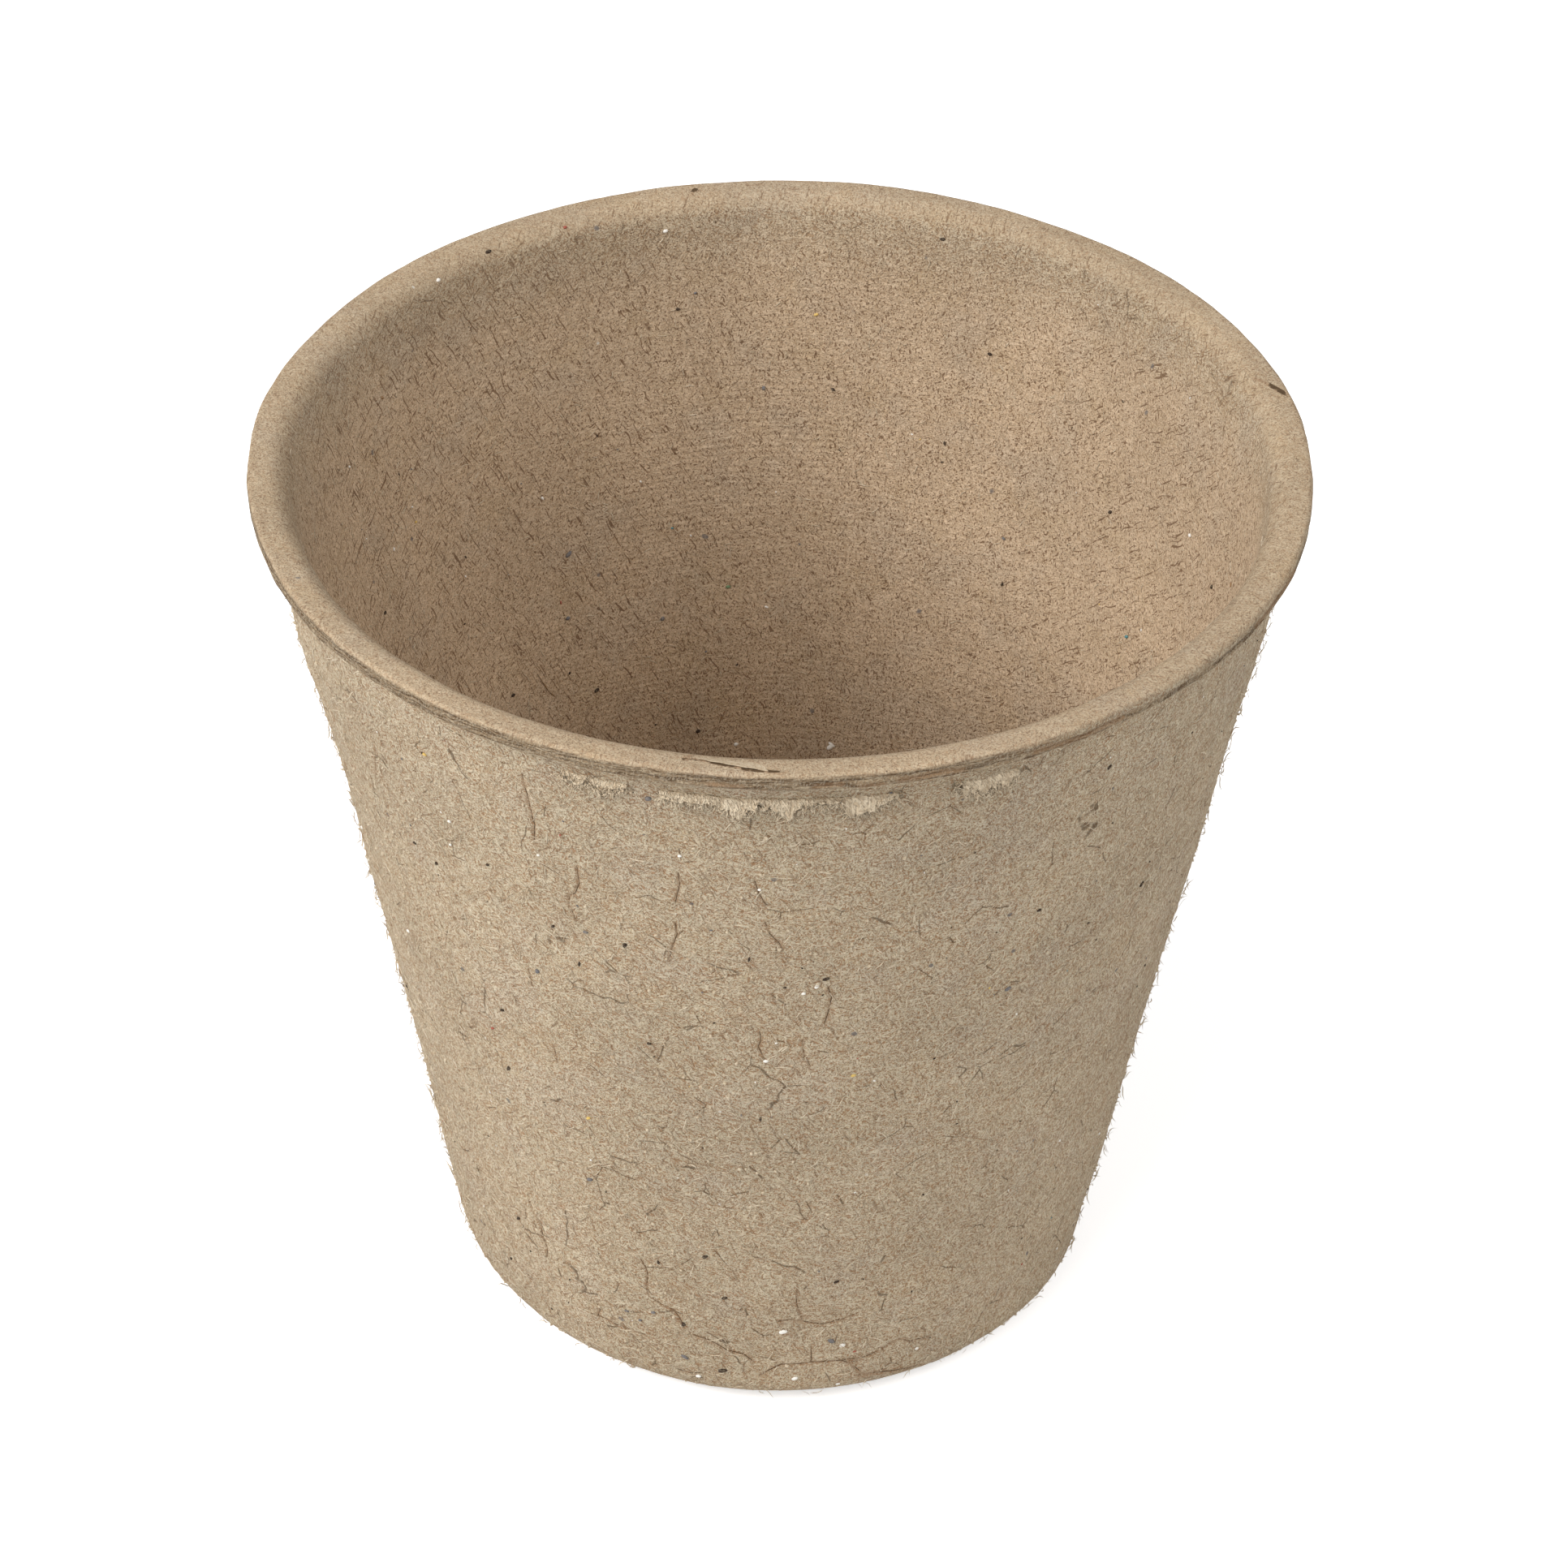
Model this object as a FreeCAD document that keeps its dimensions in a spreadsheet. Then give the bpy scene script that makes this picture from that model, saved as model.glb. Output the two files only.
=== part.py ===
import FreeCAD, Part
import math
import os
import Sketcher

# Peat pot: a small round seedling pot of moulded waste-paper pulp, standing on its foot.
# Millimetres, +Z up, the front of the pot towards -Y, the origin in the middle of the base.
# The pot is one moulding: floor, tapered wall and flared lip are a single skin of pulp.
# What is not part of that skin is the pulp that squeezed out and tore off in the mould:
# three frayed strips under the lip, and a thin sliver that has split from the lip's top.

SIZES = {
    # the pot itself
    "top_diameter": 80.0,         # across the trimmed edge of the lip
    "pot_height": 73.4,           # from the ground to the top of the lip
    "foot_diameter": 50.0,        # where the line of the outer wall meets the ground
    "wall_thickness": 1.8,
    "floor_thickness": 2.0,
    "foot_rounding": 3.6,         # outer corner between wall and base
    "floor_rounding": 3.0,        # inner corner between wall and floor
    "drain_diameter": 8.0,        # hole in the middle of the floor
    # the lip
    "lip_overhang": 1.05,         # how far the cut edge stands out from the wall line at the top
    "lip_edge_height": 1.3,       # the trimmed edge
    "lip_edge_rounding": 0.4,     # the edge's top corner, pressed round
    "lip_flare_radius": 1.8,      # inside, where the wall turns out into the lip
    "underlip_angle": 27.0,       # slope of the lip's underside
    "underlip_rounding": 2.4,     # hollow corner between wall and underside
    # frayed strips of pulp on the wall, just under the lip
    "torn_height": 1.1,
    "torn_thickness": 0.3,
    "torn_gap": 0.15,             # from the hollow corner down to the strips
    "torn_upper_share": 0.5,      # thickness at a strip's upper edge, of that at its lower edge
    "torn_left_turn": -20.0,      # angles round the pot, from the front, seen from above
    "torn_left_sweep": 7.5,
    "torn_middle_turn": 0.2,
    "torn_middle_sweep": 25.4,
    "torn_right_turn": 22.9,
    "torn_right_sweep": 7.6,
    # sliver of pulp skin on top of the lip
    "sliver_thickness": 0.2,
    "sliver_width_share": 0.85,   # of the flat on top of the lip
    "sliver_turn": -4.6,
    "sliver_sweep": 8.4,
}

FRONT_TURN = -90.0                # from +X round to the front
FULL_TURN = 360.0
TORN_STRIPS = ("left", "middle", "right")

# Formulas of the sizes above, for the sketches that share the same lines
TOP_RADIUS = "Sizes.top_diameter / 2"
FOOT_RADIUS = "Sizes.foot_diameter / 2"
WALL_ANGLE = f"atan2(Sizes.pot_height; {TOP_RADIUS} - Sizes.lip_overhang - {FOOT_RADIUS})"
UNDERSIDE_ANGLE = "Sizes.underlip_angle * 1 deg"
EDGE_FOOT = "Sizes.pot_height - Sizes.lip_edge_height"
HOLLOW_REACH = f"Sizes.underlip_rounding * tan(({WALL_ANGLE} - {UNDERSIDE_ANGLE}) / 2)"
FLARE_REACH = f"Sizes.lip_flare_radius * tan({WALL_ANGLE} / 2)"
FLAT_START = (
    f"{TOP_RADIUS} - Sizes.lip_overhang - Sizes.wall_thickness / sin({WALL_ANGLE}) + {FLARE_REACH}"
)
FLAT_WIDTH = f"{TOP_RADIUS} - Sizes.lip_edge_rounding - ({FLAT_START})"

START, END, CENTRE = 1, 2, 3      # the points of a sketched line or arc
AXES = -1                         # the sketch's own origin and horizontal axis
UPRIGHT = -2                      # its vertical axis


def write_sheet(doc):
    """Put every driving size in its own named cell."""
    sheet = doc.addObject("Spreadsheet::Sheet", "Sizes")
    for row, (name, value) in enumerate(SIZES.items(), start=1):
        sheet.set(f"A{row}", name)
        sheet.set(f"B{row}", str(value))
        sheet.setAlias(f"B{row}", name)
    doc.recompute()
    return sheet


def new_body(doc, label):
    body = doc.addObject("PartDesign::Body", label)
    body.Label = label
    return body


def new_sketch(body, name, plane_role):
    """A sketch on one of the body's own origin planes."""
    plane = next(item for item in body.Origin.OriginFeatures if item.Role == plane_role)
    sketch = body.newObject("Sketcher::SketchObject", name)
    sketch.AttachmentSupport = [(plane, "")]
    sketch.MapMode = "FlatFace"
    return sketch


def axis_of(body, role):
    return next(item for item in body.Origin.OriginFeatures if item.Role == role)


def bind(sketch, constraint, formula):
    """Add one dimension to a sketch and tie it to the sheet."""
    index = sketch.addConstraint(constraint)
    sketch.setExpression(f"Constraints[{index}]", formula)


def draw_closed(sketch, corners):
    """Straight lines from corner to corner and back to the first, joined at their ends."""
    points = [FreeCAD.Vector(*corner) for corner in corners]
    lines = []
    for here, there in zip(points, points[1:] + points[:1]):
        lines.append(sketch.addGeometry(Part.LineSegment(here, there), False))
    for line, following in zip(lines, lines[1:] + lines[:1]):
        sketch.addConstraint(Sketcher.Constraint("Coincident", line, END, following, START))
    return lines


def revolve(body, sketch, name, sweep_formula):
    """Turn a profile about the pot's axis."""
    turned = body.newObject("PartDesign::Revolution", name)
    turned.Profile = sketch
    turned.ReferenceAxis = (axis_of(body, "Z_Axis"), [""])
    turned.Midplane = True
    turned.setExpression("Angle", sweep_formula)
    return turned


def ring_edge(feature, corner):
    """Name of the round edge that a corner of the turned profile leaves."""
    for number, edge in enumerate(feature.Shape.Edges, start=1):
        if edge.Curve.TypeId != "Part::GeomCircle":
            continue
        off_radius = abs(edge.Curve.Radius - corner.x)
        off_height = abs(edge.Curve.Center.z - corner.y)
        if off_radius < feature.Shape.getTolerance(1) and off_height < feature.Shape.getTolerance(1):
            return f"Edge{number}"
    raise RuntimeError(f"no round edge at {corner}")


def round_corner(doc, body, base, name, corner, radius_name):
    """Fillet one round edge of the pot with a radius from the sheet."""
    fillet = body.newObject("PartDesign::Fillet", name)
    fillet.Base = (base, [ring_edge(base, corner)])
    fillet.setExpression("Radius", f"Sizes.{radius_name}")
    doc.recompute()
    return fillet


def direction(angle):
    return FreeCAD.Vector(math.cos(angle), math.sin(angle), 0)


def wall_angle(sizes):
    """Angle of the outer wall above the ground, in radians."""
    lean = sizes.top_diameter / 2 - sizes.lip_overhang - sizes.foot_diameter / 2
    return math.atan2(sizes.pot_height, lean)


def underside_angle(sizes):
    return math.radians(sizes.underlip_angle)


def outer_lines(sizes):
    """Foot of the wall's line, the way up it, its corner with the lip's underside, the edge's foot."""
    foot = FreeCAD.Vector(sizes.foot_diameter / 2, 0, 0)
    edge_foot = FreeCAD.Vector(sizes.top_diameter / 2, sizes.pot_height - sizes.lip_edge_height, 0)
    up_wall = direction(wall_angle(sizes))
    along_underside = direction(underside_angle(sizes))
    rise = (edge_foot - foot).cross(along_underside).z / up_wall.cross(along_underside).z
    return foot, up_wall, foot + up_wall * rise, edge_foot


def pot_profile(body, sizes):
    """Half section of the pot with sharp corners: floor, wall, lip and back down inside."""
    top_radius = sizes.top_diameter / 2
    foot, up_wall, neck, edge_foot = outer_lines(sizes)
    inner_foot = foot + up_wall * (sizes.floor_thickness / up_wall.y)
    inner_shift = FreeCAD.Vector(sizes.wall_thickness / up_wall.y, 0, 0)
    inner_top = FreeCAD.Vector(top_radius - sizes.lip_overhang, sizes.pot_height, 0)
    sketch = new_sketch(body, "pot_profile", "XZ_Plane")
    base, wall, underside, edge, top, inside, floor, middle = draw_closed(
        sketch,
        [
            (0, 0),
            foot,
            neck,
            edge_foot,
            (top_radius, sizes.pot_height),
            inner_top - inner_shift,
            inner_foot - inner_shift,
            (0, sizes.floor_thickness),
        ],
    )
    sketch.addConstraint(
        [
            Sketcher.Constraint("Coincident", base, START, AXES, START),
            Sketcher.Constraint("PointOnObject", base, END, AXES),
            Sketcher.Constraint("PointOnObject", middle, START, UPRIGHT),
            Sketcher.Constraint("Vertical", edge),
            Sketcher.Constraint("Horizontal", top),
            Sketcher.Constraint("Horizontal", floor),
            Sketcher.Constraint("Parallel", inside, wall),
        ]
    )
    bind(sketch, Sketcher.Constraint("DistanceX", base, START, base, END, foot.x), FOOT_RADIUS)
    bind(sketch, Sketcher.Constraint("DistanceX", AXES, START, edge, END, top_radius), TOP_RADIUS)
    bind(
        sketch,
        Sketcher.Constraint("DistanceY", AXES, START, edge, END, sizes.pot_height),
        "Sizes.pot_height",
    )
    bind(sketch, Sketcher.Constraint("Distance", edge, sizes.lip_edge_height), "Sizes.lip_edge_height")
    bind(sketch, Sketcher.Constraint("Angle", wall, wall_angle(sizes)), WALL_ANGLE)
    bind(sketch, Sketcher.Constraint("Angle", underside, underside_angle(sizes)), UNDERSIDE_ANGLE)
    bind(
        sketch,
        Sketcher.Constraint("Distance", inside, END, wall, sizes.wall_thickness),
        "Sizes.wall_thickness",
    )
    bind(
        sketch,
        Sketcher.Constraint("DistanceY", AXES, START, middle, START, sizes.floor_thickness),
        "Sizes.floor_thickness",
    )
    corners = {
        "foot": (wall, START),
        "neck": (underside, START),
        "edge": (edge, END),
        "flare": (inside, START),
        "floor": (floor, START),
    }
    return sketch, corners


def make_pot_shell(doc, sizes):
    """The moulding: one turned skin with rounded corners and a drain hole."""
    body = new_body(doc, "pot_shell")
    sketch, corners = pot_profile(body, sizes)
    solid = revolve(body, sketch, "pot_turned", f"{FULL_TURN} deg")
    doc.recompute()
    rounded = (
        ("foot", "foot_rounding"),
        ("neck", "underlip_rounding"),
        ("edge", "lip_edge_rounding"),
        ("flare", "lip_flare_radius"),
        ("floor", "floor_rounding"),
    )
    for corner, radius_name in rounded:
        point = sketch.getPoint(*corners[corner])
        solid = round_corner(doc, body, solid, f"{corner}_fillet", point, radius_name)

    hole = new_sketch(body, "drain_outline", "XY_Plane")
    rim = hole.addGeometry(
        Part.Circle(FreeCAD.Vector(0, 0, 0), FreeCAD.Vector(0, 0, 1), sizes.drain_diameter / 2), False
    )
    hole.addConstraint(Sketcher.Constraint("Coincident", rim, CENTRE, AXES, START))
    bind(hole, Sketcher.Constraint("Diameter", rim, sizes.drain_diameter), "Sizes.drain_diameter")
    whole = solid.Shape.Volume
    drain = body.newObject("PartDesign::Pocket", "drain_hole")
    drain.Profile = hole
    drain.Reversed = True
    drain.setExpression("Length", "Sizes.floor_thickness + Sizes.wall_thickness")
    doc.recompute()
    if drain.Shape.Volume >= whole:
        raise RuntimeError("the drain hole cuts nothing")
    return body


def make_torn_strip(doc, sizes, side):
    """A frayed strip of pulp that lies on the wall below the hollow corner of the lip."""
    body = new_body(doc, f"torn_pulp_{side}")
    sketch = new_sketch(body, f"torn_{side}_profile", "XZ_Plane")
    foot, up_wall, neck, edge_foot = outer_lines(sizes)
    outward = FreeCAD.Vector(up_wall.y, -up_wall.x, 0)
    hollow_turn = wall_angle(sizes) - underside_angle(sizes)
    below_neck = sizes.underlip_rounding * math.tan(hollow_turn / 2) + sizes.torn_gap
    strip_top = neck - up_wall * below_neck
    strip_foot = strip_top - up_wall * sizes.torn_height
    upper_thickness = sizes.torn_thickness * sizes.torn_upper_share

    # the lines of the wall and of the lip's underside, to lay the strip on
    wall = sketch.addGeometry(Part.LineSegment(foot, neck), True)
    underside = sketch.addGeometry(Part.LineSegment(neck, edge_foot), True)
    upper, inner, lower, outer = draw_closed(
        sketch,
        [
            strip_top + outward * upper_thickness,
            strip_top,
            strip_foot,
            strip_foot + outward * sizes.torn_thickness,
        ],
    )
    sketch.addConstraint(
        [
            Sketcher.Constraint("PointOnObject", wall, START, AXES),
            Sketcher.Constraint("Coincident", wall, END, underside, START),
            Sketcher.Constraint("PointOnObject", inner, START, wall),
            Sketcher.Constraint("PointOnObject", inner, END, wall),
            Sketcher.Constraint("Perpendicular", upper, wall),
            Sketcher.Constraint("Perpendicular", lower, wall),
        ]
    )
    bind(sketch, Sketcher.Constraint("DistanceX", AXES, START, wall, START, foot.x), FOOT_RADIUS)
    bind(sketch, Sketcher.Constraint("Angle", wall, wall_angle(sizes)), WALL_ANGLE)
    bind(sketch, Sketcher.Constraint("Angle", underside, underside_angle(sizes)), UNDERSIDE_ANGLE)
    bind(sketch, Sketcher.Constraint("DistanceX", AXES, START, underside, END, edge_foot.x), TOP_RADIUS)
    bind(sketch, Sketcher.Constraint("DistanceY", AXES, START, underside, END, edge_foot.y), EDGE_FOOT)
    bind(
        sketch,
        Sketcher.Constraint("Distance", inner, START, wall, END, below_neck),
        f"{HOLLOW_REACH} + Sizes.torn_gap",
    )
    bind(sketch, Sketcher.Constraint("Distance", inner, sizes.torn_height), "Sizes.torn_height")
    bind(sketch, Sketcher.Constraint("Distance", lower, sizes.torn_thickness), "Sizes.torn_thickness")
    bind(
        sketch,
        Sketcher.Constraint("Distance", upper, upper_thickness),
        "Sizes.torn_thickness * Sizes.torn_upper_share",
    )
    revolve(body, sketch, f"torn_{side}_turned", f"Sizes.torn_{side}_sweep * 1 deg")
    body.Placement = turned_from_front(sizes.get(f"torn_{side}_turn"))
    doc.recompute()
    return body


def make_lip_sliver(doc, sizes):
    """A pointed sliver of pulp skin that lies on the flat top of the lip."""
    body = new_body(doc, "lip_sliver")
    sketch = new_sketch(body, "sliver_outline", "XY_Plane")
    sketch.setExpression(".AttachmentOffset.Base.z", "Sizes.pot_height")
    flat_radius = sizes.top_diameter / 2 - sizes.lip_overhang
    half = FreeCAD.Rotation(FreeCAD.Vector(0, 0, 1), sizes.sliver_sweep / 2)
    blunt = half.multVec(FreeCAD.Vector(flat_radius, 0, 0))
    tip = half.inverted().multVec(FreeCAD.Vector(flat_radius, 0, 0))
    outer = half.multVec(FreeCAD.Vector(flat_radius + sizes.lip_overhang, 0, 0))

    ring = Part.Circle(FreeCAD.Vector(0, 0, 0), FreeCAD.Vector(0, 0, 1), flat_radius)
    inner_arc = Part.ArcOfCircle(ring, ring.parameter(tip), ring.parameter(blunt))
    inner_edge = sketch.addGeometry(inner_arc, False)
    blunt_end = sketch.addGeometry(Part.LineSegment(blunt, outer), False)
    outer_edge = sketch.addGeometry(Part.LineSegment(outer, tip), False)
    sketch.addConstraint(
        [
            Sketcher.Constraint("Coincident", inner_edge, CENTRE, AXES, START),
            Sketcher.Constraint("Coincident", inner_edge, END, blunt_end, START),
            Sketcher.Constraint("Coincident", blunt_end, END, outer_edge, START),
            Sketcher.Constraint("Coincident", outer_edge, END, inner_edge, START),
            Sketcher.Constraint("PointOnObject", AXES, START, blunt_end),
        ]
    )
    half_width = f"({FLAT_START}) * sin(Sizes.sliver_sweep * 1 deg / 2)"
    bind(sketch, Sketcher.Constraint("Radius", inner_edge, flat_radius), FLAT_START)
    bind(sketch, Sketcher.Constraint("DistanceY", AXES, START, inner_edge, END, blunt.y), half_width)
    bind(sketch, Sketcher.Constraint("DistanceY", inner_edge, START, AXES, START, blunt.y), half_width)
    bind(
        sketch,
        Sketcher.Constraint("Distance", blunt_end, sizes.lip_overhang),
        f"({FLAT_WIDTH}) * Sizes.sliver_width_share",
    )
    pad = body.newObject("PartDesign::Pad", "sliver_pad")
    pad.Profile = sketch
    pad.setExpression("Length", "Sizes.sliver_thickness")
    body.Placement = turned_from_front(sizes.sliver_turn)
    doc.recompute()
    return body


def turned_from_front(turn):
    """Placement that turns a piece about the pot's axis, counted from the front."""
    rotation = FreeCAD.Rotation(FreeCAD.Vector(0, 0, 1), FRONT_TURN + turn)
    return FreeCAD.Placement(FreeCAD.Vector(0, 0, 0), rotation)


def check_document(doc, bodies):
    """Stop if any object failed, a sketch is loose, or a piece is not one sound solid."""
    doc.recompute()
    for item in doc.Objects:
        if "Invalid" in item.State or "Error" in item.State:
            raise RuntimeError(f"{item.Label} failed: {item.State}")
        if item.TypeId == "Sketcher::SketchObject" and item.solve() != 0:
            raise RuntimeError(f"{item.Label} does not solve")
    for body in bodies:
        shape = body.Shape
        if shape.isNull() or not shape.isValid() or len(shape.Solids) != 1:
            raise RuntimeError(f"{body.Label} is not one sound solid")


def write_parts(bodies):
    os.makedirs("parts", exist_ok=True)
    for body in bodies:
        body.Shape.exportStep(f"parts/{body.Label}.step")
        box = body.Shape.BoundBox
        print(f"{body.Label}: volume {body.Shape.Volume:.2f} mm3,",
              f"x {box.XMin:.2f} to {box.XMax:.2f}, y {box.YMin:.2f} to {box.YMax:.2f},",
              f"z {box.ZMin:.2f} to {box.ZMax:.2f}")


doc = FreeCAD.newDocument("peat_pot")
sizes = write_sheet(doc)
bodies = [make_pot_shell(doc, sizes)]
bodies += [make_torn_strip(doc, sizes, side) for side in TORN_STRIPS]
bodies.append(make_lip_sliver(doc, sizes))
check_document(doc, bodies)
write_parts(bodies)
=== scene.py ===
import math
import random

import bmesh
import bpy
import numpy as np
from mathutils import Matrix, Quaternion, Vector
from mathutils.bvhtree import BVHTree
from mathutils.noise import noise


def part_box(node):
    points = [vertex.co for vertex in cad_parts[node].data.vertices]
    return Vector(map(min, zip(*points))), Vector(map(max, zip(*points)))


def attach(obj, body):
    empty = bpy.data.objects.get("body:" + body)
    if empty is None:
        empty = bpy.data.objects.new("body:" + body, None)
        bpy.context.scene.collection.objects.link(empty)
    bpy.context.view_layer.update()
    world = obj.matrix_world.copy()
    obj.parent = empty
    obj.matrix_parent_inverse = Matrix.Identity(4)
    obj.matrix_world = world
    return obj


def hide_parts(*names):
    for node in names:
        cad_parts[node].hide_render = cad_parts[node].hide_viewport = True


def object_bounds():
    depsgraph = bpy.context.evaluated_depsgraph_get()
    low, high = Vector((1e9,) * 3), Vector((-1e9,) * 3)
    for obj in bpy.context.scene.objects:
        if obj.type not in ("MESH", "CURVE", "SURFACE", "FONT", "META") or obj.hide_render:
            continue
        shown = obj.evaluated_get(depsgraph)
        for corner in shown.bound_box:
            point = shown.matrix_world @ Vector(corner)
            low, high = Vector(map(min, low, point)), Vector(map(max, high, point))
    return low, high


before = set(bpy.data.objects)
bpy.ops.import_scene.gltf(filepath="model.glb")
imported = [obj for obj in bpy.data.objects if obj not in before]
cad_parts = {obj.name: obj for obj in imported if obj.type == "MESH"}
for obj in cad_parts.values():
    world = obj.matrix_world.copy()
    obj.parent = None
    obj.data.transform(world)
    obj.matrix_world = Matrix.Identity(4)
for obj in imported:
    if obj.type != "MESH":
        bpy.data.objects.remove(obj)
cad_low, cad_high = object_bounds()

# The studio: a white table under an even pale sky, a soft lamp on the left and two weaker ones in
# front and on the right. The camera looks down at the pot by 37 degrees, turned by half a degree
# about its own axis.
scene = bpy.context.scene
table_size = 6.0
bpy.ops.object.select_all(action="DESELECT")
bpy.ops.mesh.primitive_plane_add(size=table_size)
table = bpy.context.object
table.name = "table_top"


def put(tree, kind, *feeds, **settings):
    """Add a shader node with its properties, and feed its inputs in order with values or other nodes."""
    made = tree.nodes.new("ShaderNode" + kind)
    for name, value in settings.items():
        setattr(made, name, value)
    for socket, feed in zip(made.inputs, feeds):
        if isinstance(feed, bpy.types.Node):
            feed = feed.outputs[0]
        if isinstance(feed, bpy.types.NodeSocket):
            tree.links.new(feed, socket)
        elif feed is not None:
            socket.default_value = feed
    return made


def maths(tree, operation, *feeds, **settings):
    return put(tree, "Math", *feeds, operation=operation, **settings)


def times(tree, *feeds):
    return maths(tree, "MULTIPLY", *feeds)


def start_material(name, colour, roughness, gloss):
    """A new material with one plain surface; returns it with its node tree and its shader."""
    material = bpy.data.materials.new(name)
    material.use_nodes = True
    shader = material.node_tree.nodes["Principled BSDF"]
    shader.inputs["Base Color"].default_value = (*colour, 1)
    shader.inputs["Roughness"].default_value = roughness
    shader.inputs["Specular IOR Level"].default_value = gloss
    return material, material.node_tree, shader


table_lift = 0.55  # what the camera sees on top of the lit paint, so that the table is plain white
table_paint, tree, shader = start_material("white_table", (0.86, 0.86, 0.86), 0.9, 0.1)
light_path = put(tree, "LightPath")
seen = maths(tree, "MAXIMUM", light_path.outputs["Is Camera Ray"], light_path.outputs["Is Glossy Ray"])
lift = times(tree, seen, table_lift)
shader.inputs["Emission Color"].default_value = (1, 1, 1, 1)
tree.links.new(lift.outputs[0], shader.inputs["Emission Strength"])
table.data.materials.append(table_paint)

sky_strength = 0.34
world = bpy.data.worlds.new("studio_sky")
scene.world = world
world.use_nodes = True
sky = world.node_tree.nodes["Background"]
sky.inputs["Color"].default_value = (1, 1, 1, 1)
sky.inputs["Strength"].default_value = sky_strength

lamp_distance = 1.1
lamp_aim = Vector((0, 0, 0.03))
lamps = [
    # the name, the turn from the front and the height over the table in degrees, the power, the width
    ("left_lamp", -70, 40, 7.9, 0.5),
    ("front_lamp", -35, 38, 4.1, 0.6),
    ("right_lamp", 70, 45, 4.3, 0.6),
]
for name, azimuth, elevation, power, width in lamps:
    lamp_data = bpy.data.lights.new(name, "AREA")
    lamp_data.energy = power
    lamp_data.size = width
    lamp = bpy.data.objects.new(name, lamp_data)
    swung = Matrix.Rotation(math.radians(azimuth), 4, "Z")
    tipped = Matrix.Rotation(math.radians(90 - elevation), 4, "X")
    drawn_back = Matrix.Translation((0, 0, lamp_distance))
    lamp.matrix_world = Matrix.Translation(lamp_aim) @ swung @ tipped @ drawn_back
    scene.collection.objects.link(lamp)

camera_distance = 0.485
camera_aim = Vector((0.000464, 0, 0.042662))
camera_tilt = math.radians(90 - 36.961)
camera_roll = math.radians(0.535)
camera_data = bpy.data.cameras.new("camera")
sensor_width, focal_length, nearest_seen = 36.0, 142.45, 0.05
camera_data.sensor_width = sensor_width
camera_data.lens = focal_length
camera_data.clip_start = nearest_seen
camera = bpy.data.objects.new("camera", camera_data)
turned = Matrix.Rotation(camera_tilt, 4, "X") @ Matrix.Rotation(camera_roll, 4, "Z")
camera.matrix_world = Matrix.Translation(camera_aim) @ turned @ Matrix.Translation((0, 0, camera_distance))
scene.collection.objects.link(camera)
scene.camera = camera
scene.view_settings.view_transform = "Standard"


# The pot shell: one skin of waste-paper pulp, laid on a wire screen and pressed from outside.
# Its floor, tapered wall and flared lip are one moulding; the lip's edge is trimmed, which
# shows the plies. The outside is matted fibre, the inside keeps a print of the screen.
shell_low, shell_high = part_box("pot_shell")
top_radius = shell_high.x
pot_height = shell_high.z
foot_radius = 0.025
wall_thickness = 0.0018
floor_thickness = 0.002
drain_radius = 0.004
lip_overhang = 0.00105
lip_edge_height = 0.0013
underlip_angle = math.radians(27)
lean = (top_radius - lip_overhang - foot_radius) / pot_height  # how far the wall leans out per height
wall_tilt = math.atan(lean)
inner_shift = wall_thickness / math.cos(wall_tilt)
edge_foot = pot_height - lip_edge_height
neck_height = (edge_foot / math.tan(underlip_angle) - (top_radius - foot_radius)) / (
    1 / math.tan(underlip_angle) - lean
)


def wall_radius(height):
    """Radius of the outer wall's plain line at a height above the ground."""
    return foot_radius + lean * height


# the corners of the half section, in order: its name, its place, the radius that it is rounded to in
# so many steps, and how finely the straight stretch after it is divided
mm = 0.001
corners = [
    ("drain_foot", drain_radius, 0, 0.4 * mm, 2, 0.95 * mm),
    ("foot", foot_radius, 0, 3.6 * mm, 9, 0.82 * mm),
    ("neck", wall_radius(neck_height), neck_height, 2.4 * mm, 6, 0.25 * mm),
    ("edge_foot", top_radius, edge_foot, 0.15 * mm, 2, 0.09 * mm),
    ("edge_top", top_radius, pot_height, 0.4 * mm, 5, 0.3 * mm),
    ("flare", wall_radius(pot_height) - inner_shift, pot_height, 1.8 * mm, 8, 1.15 * mm),
    ("floor", wall_radius(floor_thickness) - inner_shift, floor_thickness, 3.0 * mm, 7, 0.95 * mm),
    ("drain_top", drain_radius, floor_thickness, 0.4 * mm, 2, 0.4 * mm),
]
bpy.ops.object.select_all(action="DESELECT")
bpy.ops.mesh.primitive_circle_add(vertices=len(corners), radius=top_radius)
shell = bpy.context.object
shell.name = "pulp_shell"
places = [Vector((across, 0, up)) for name, across, up, *rest in corners]
for vertex, place in zip(shell.data.vertices, places):
    vertex.co = place


def select_where(piece, points=None, edges=None):
    """In edit mode, select only the points or edges that the given test holds for."""
    bpy.ops.mesh.select_all(action="DESELECT")
    mesh = bmesh.from_edit_mesh(piece.data)
    for vertex in mesh.verts if points else ():
        vertex.select_set(points(vertex.co))
    for edge in mesh.edges if edges else ():
        edge.select_set(edges(*(vertex.co for vertex in edge.verts)))
    bmesh.update_edit_mesh(piece.data)


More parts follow.
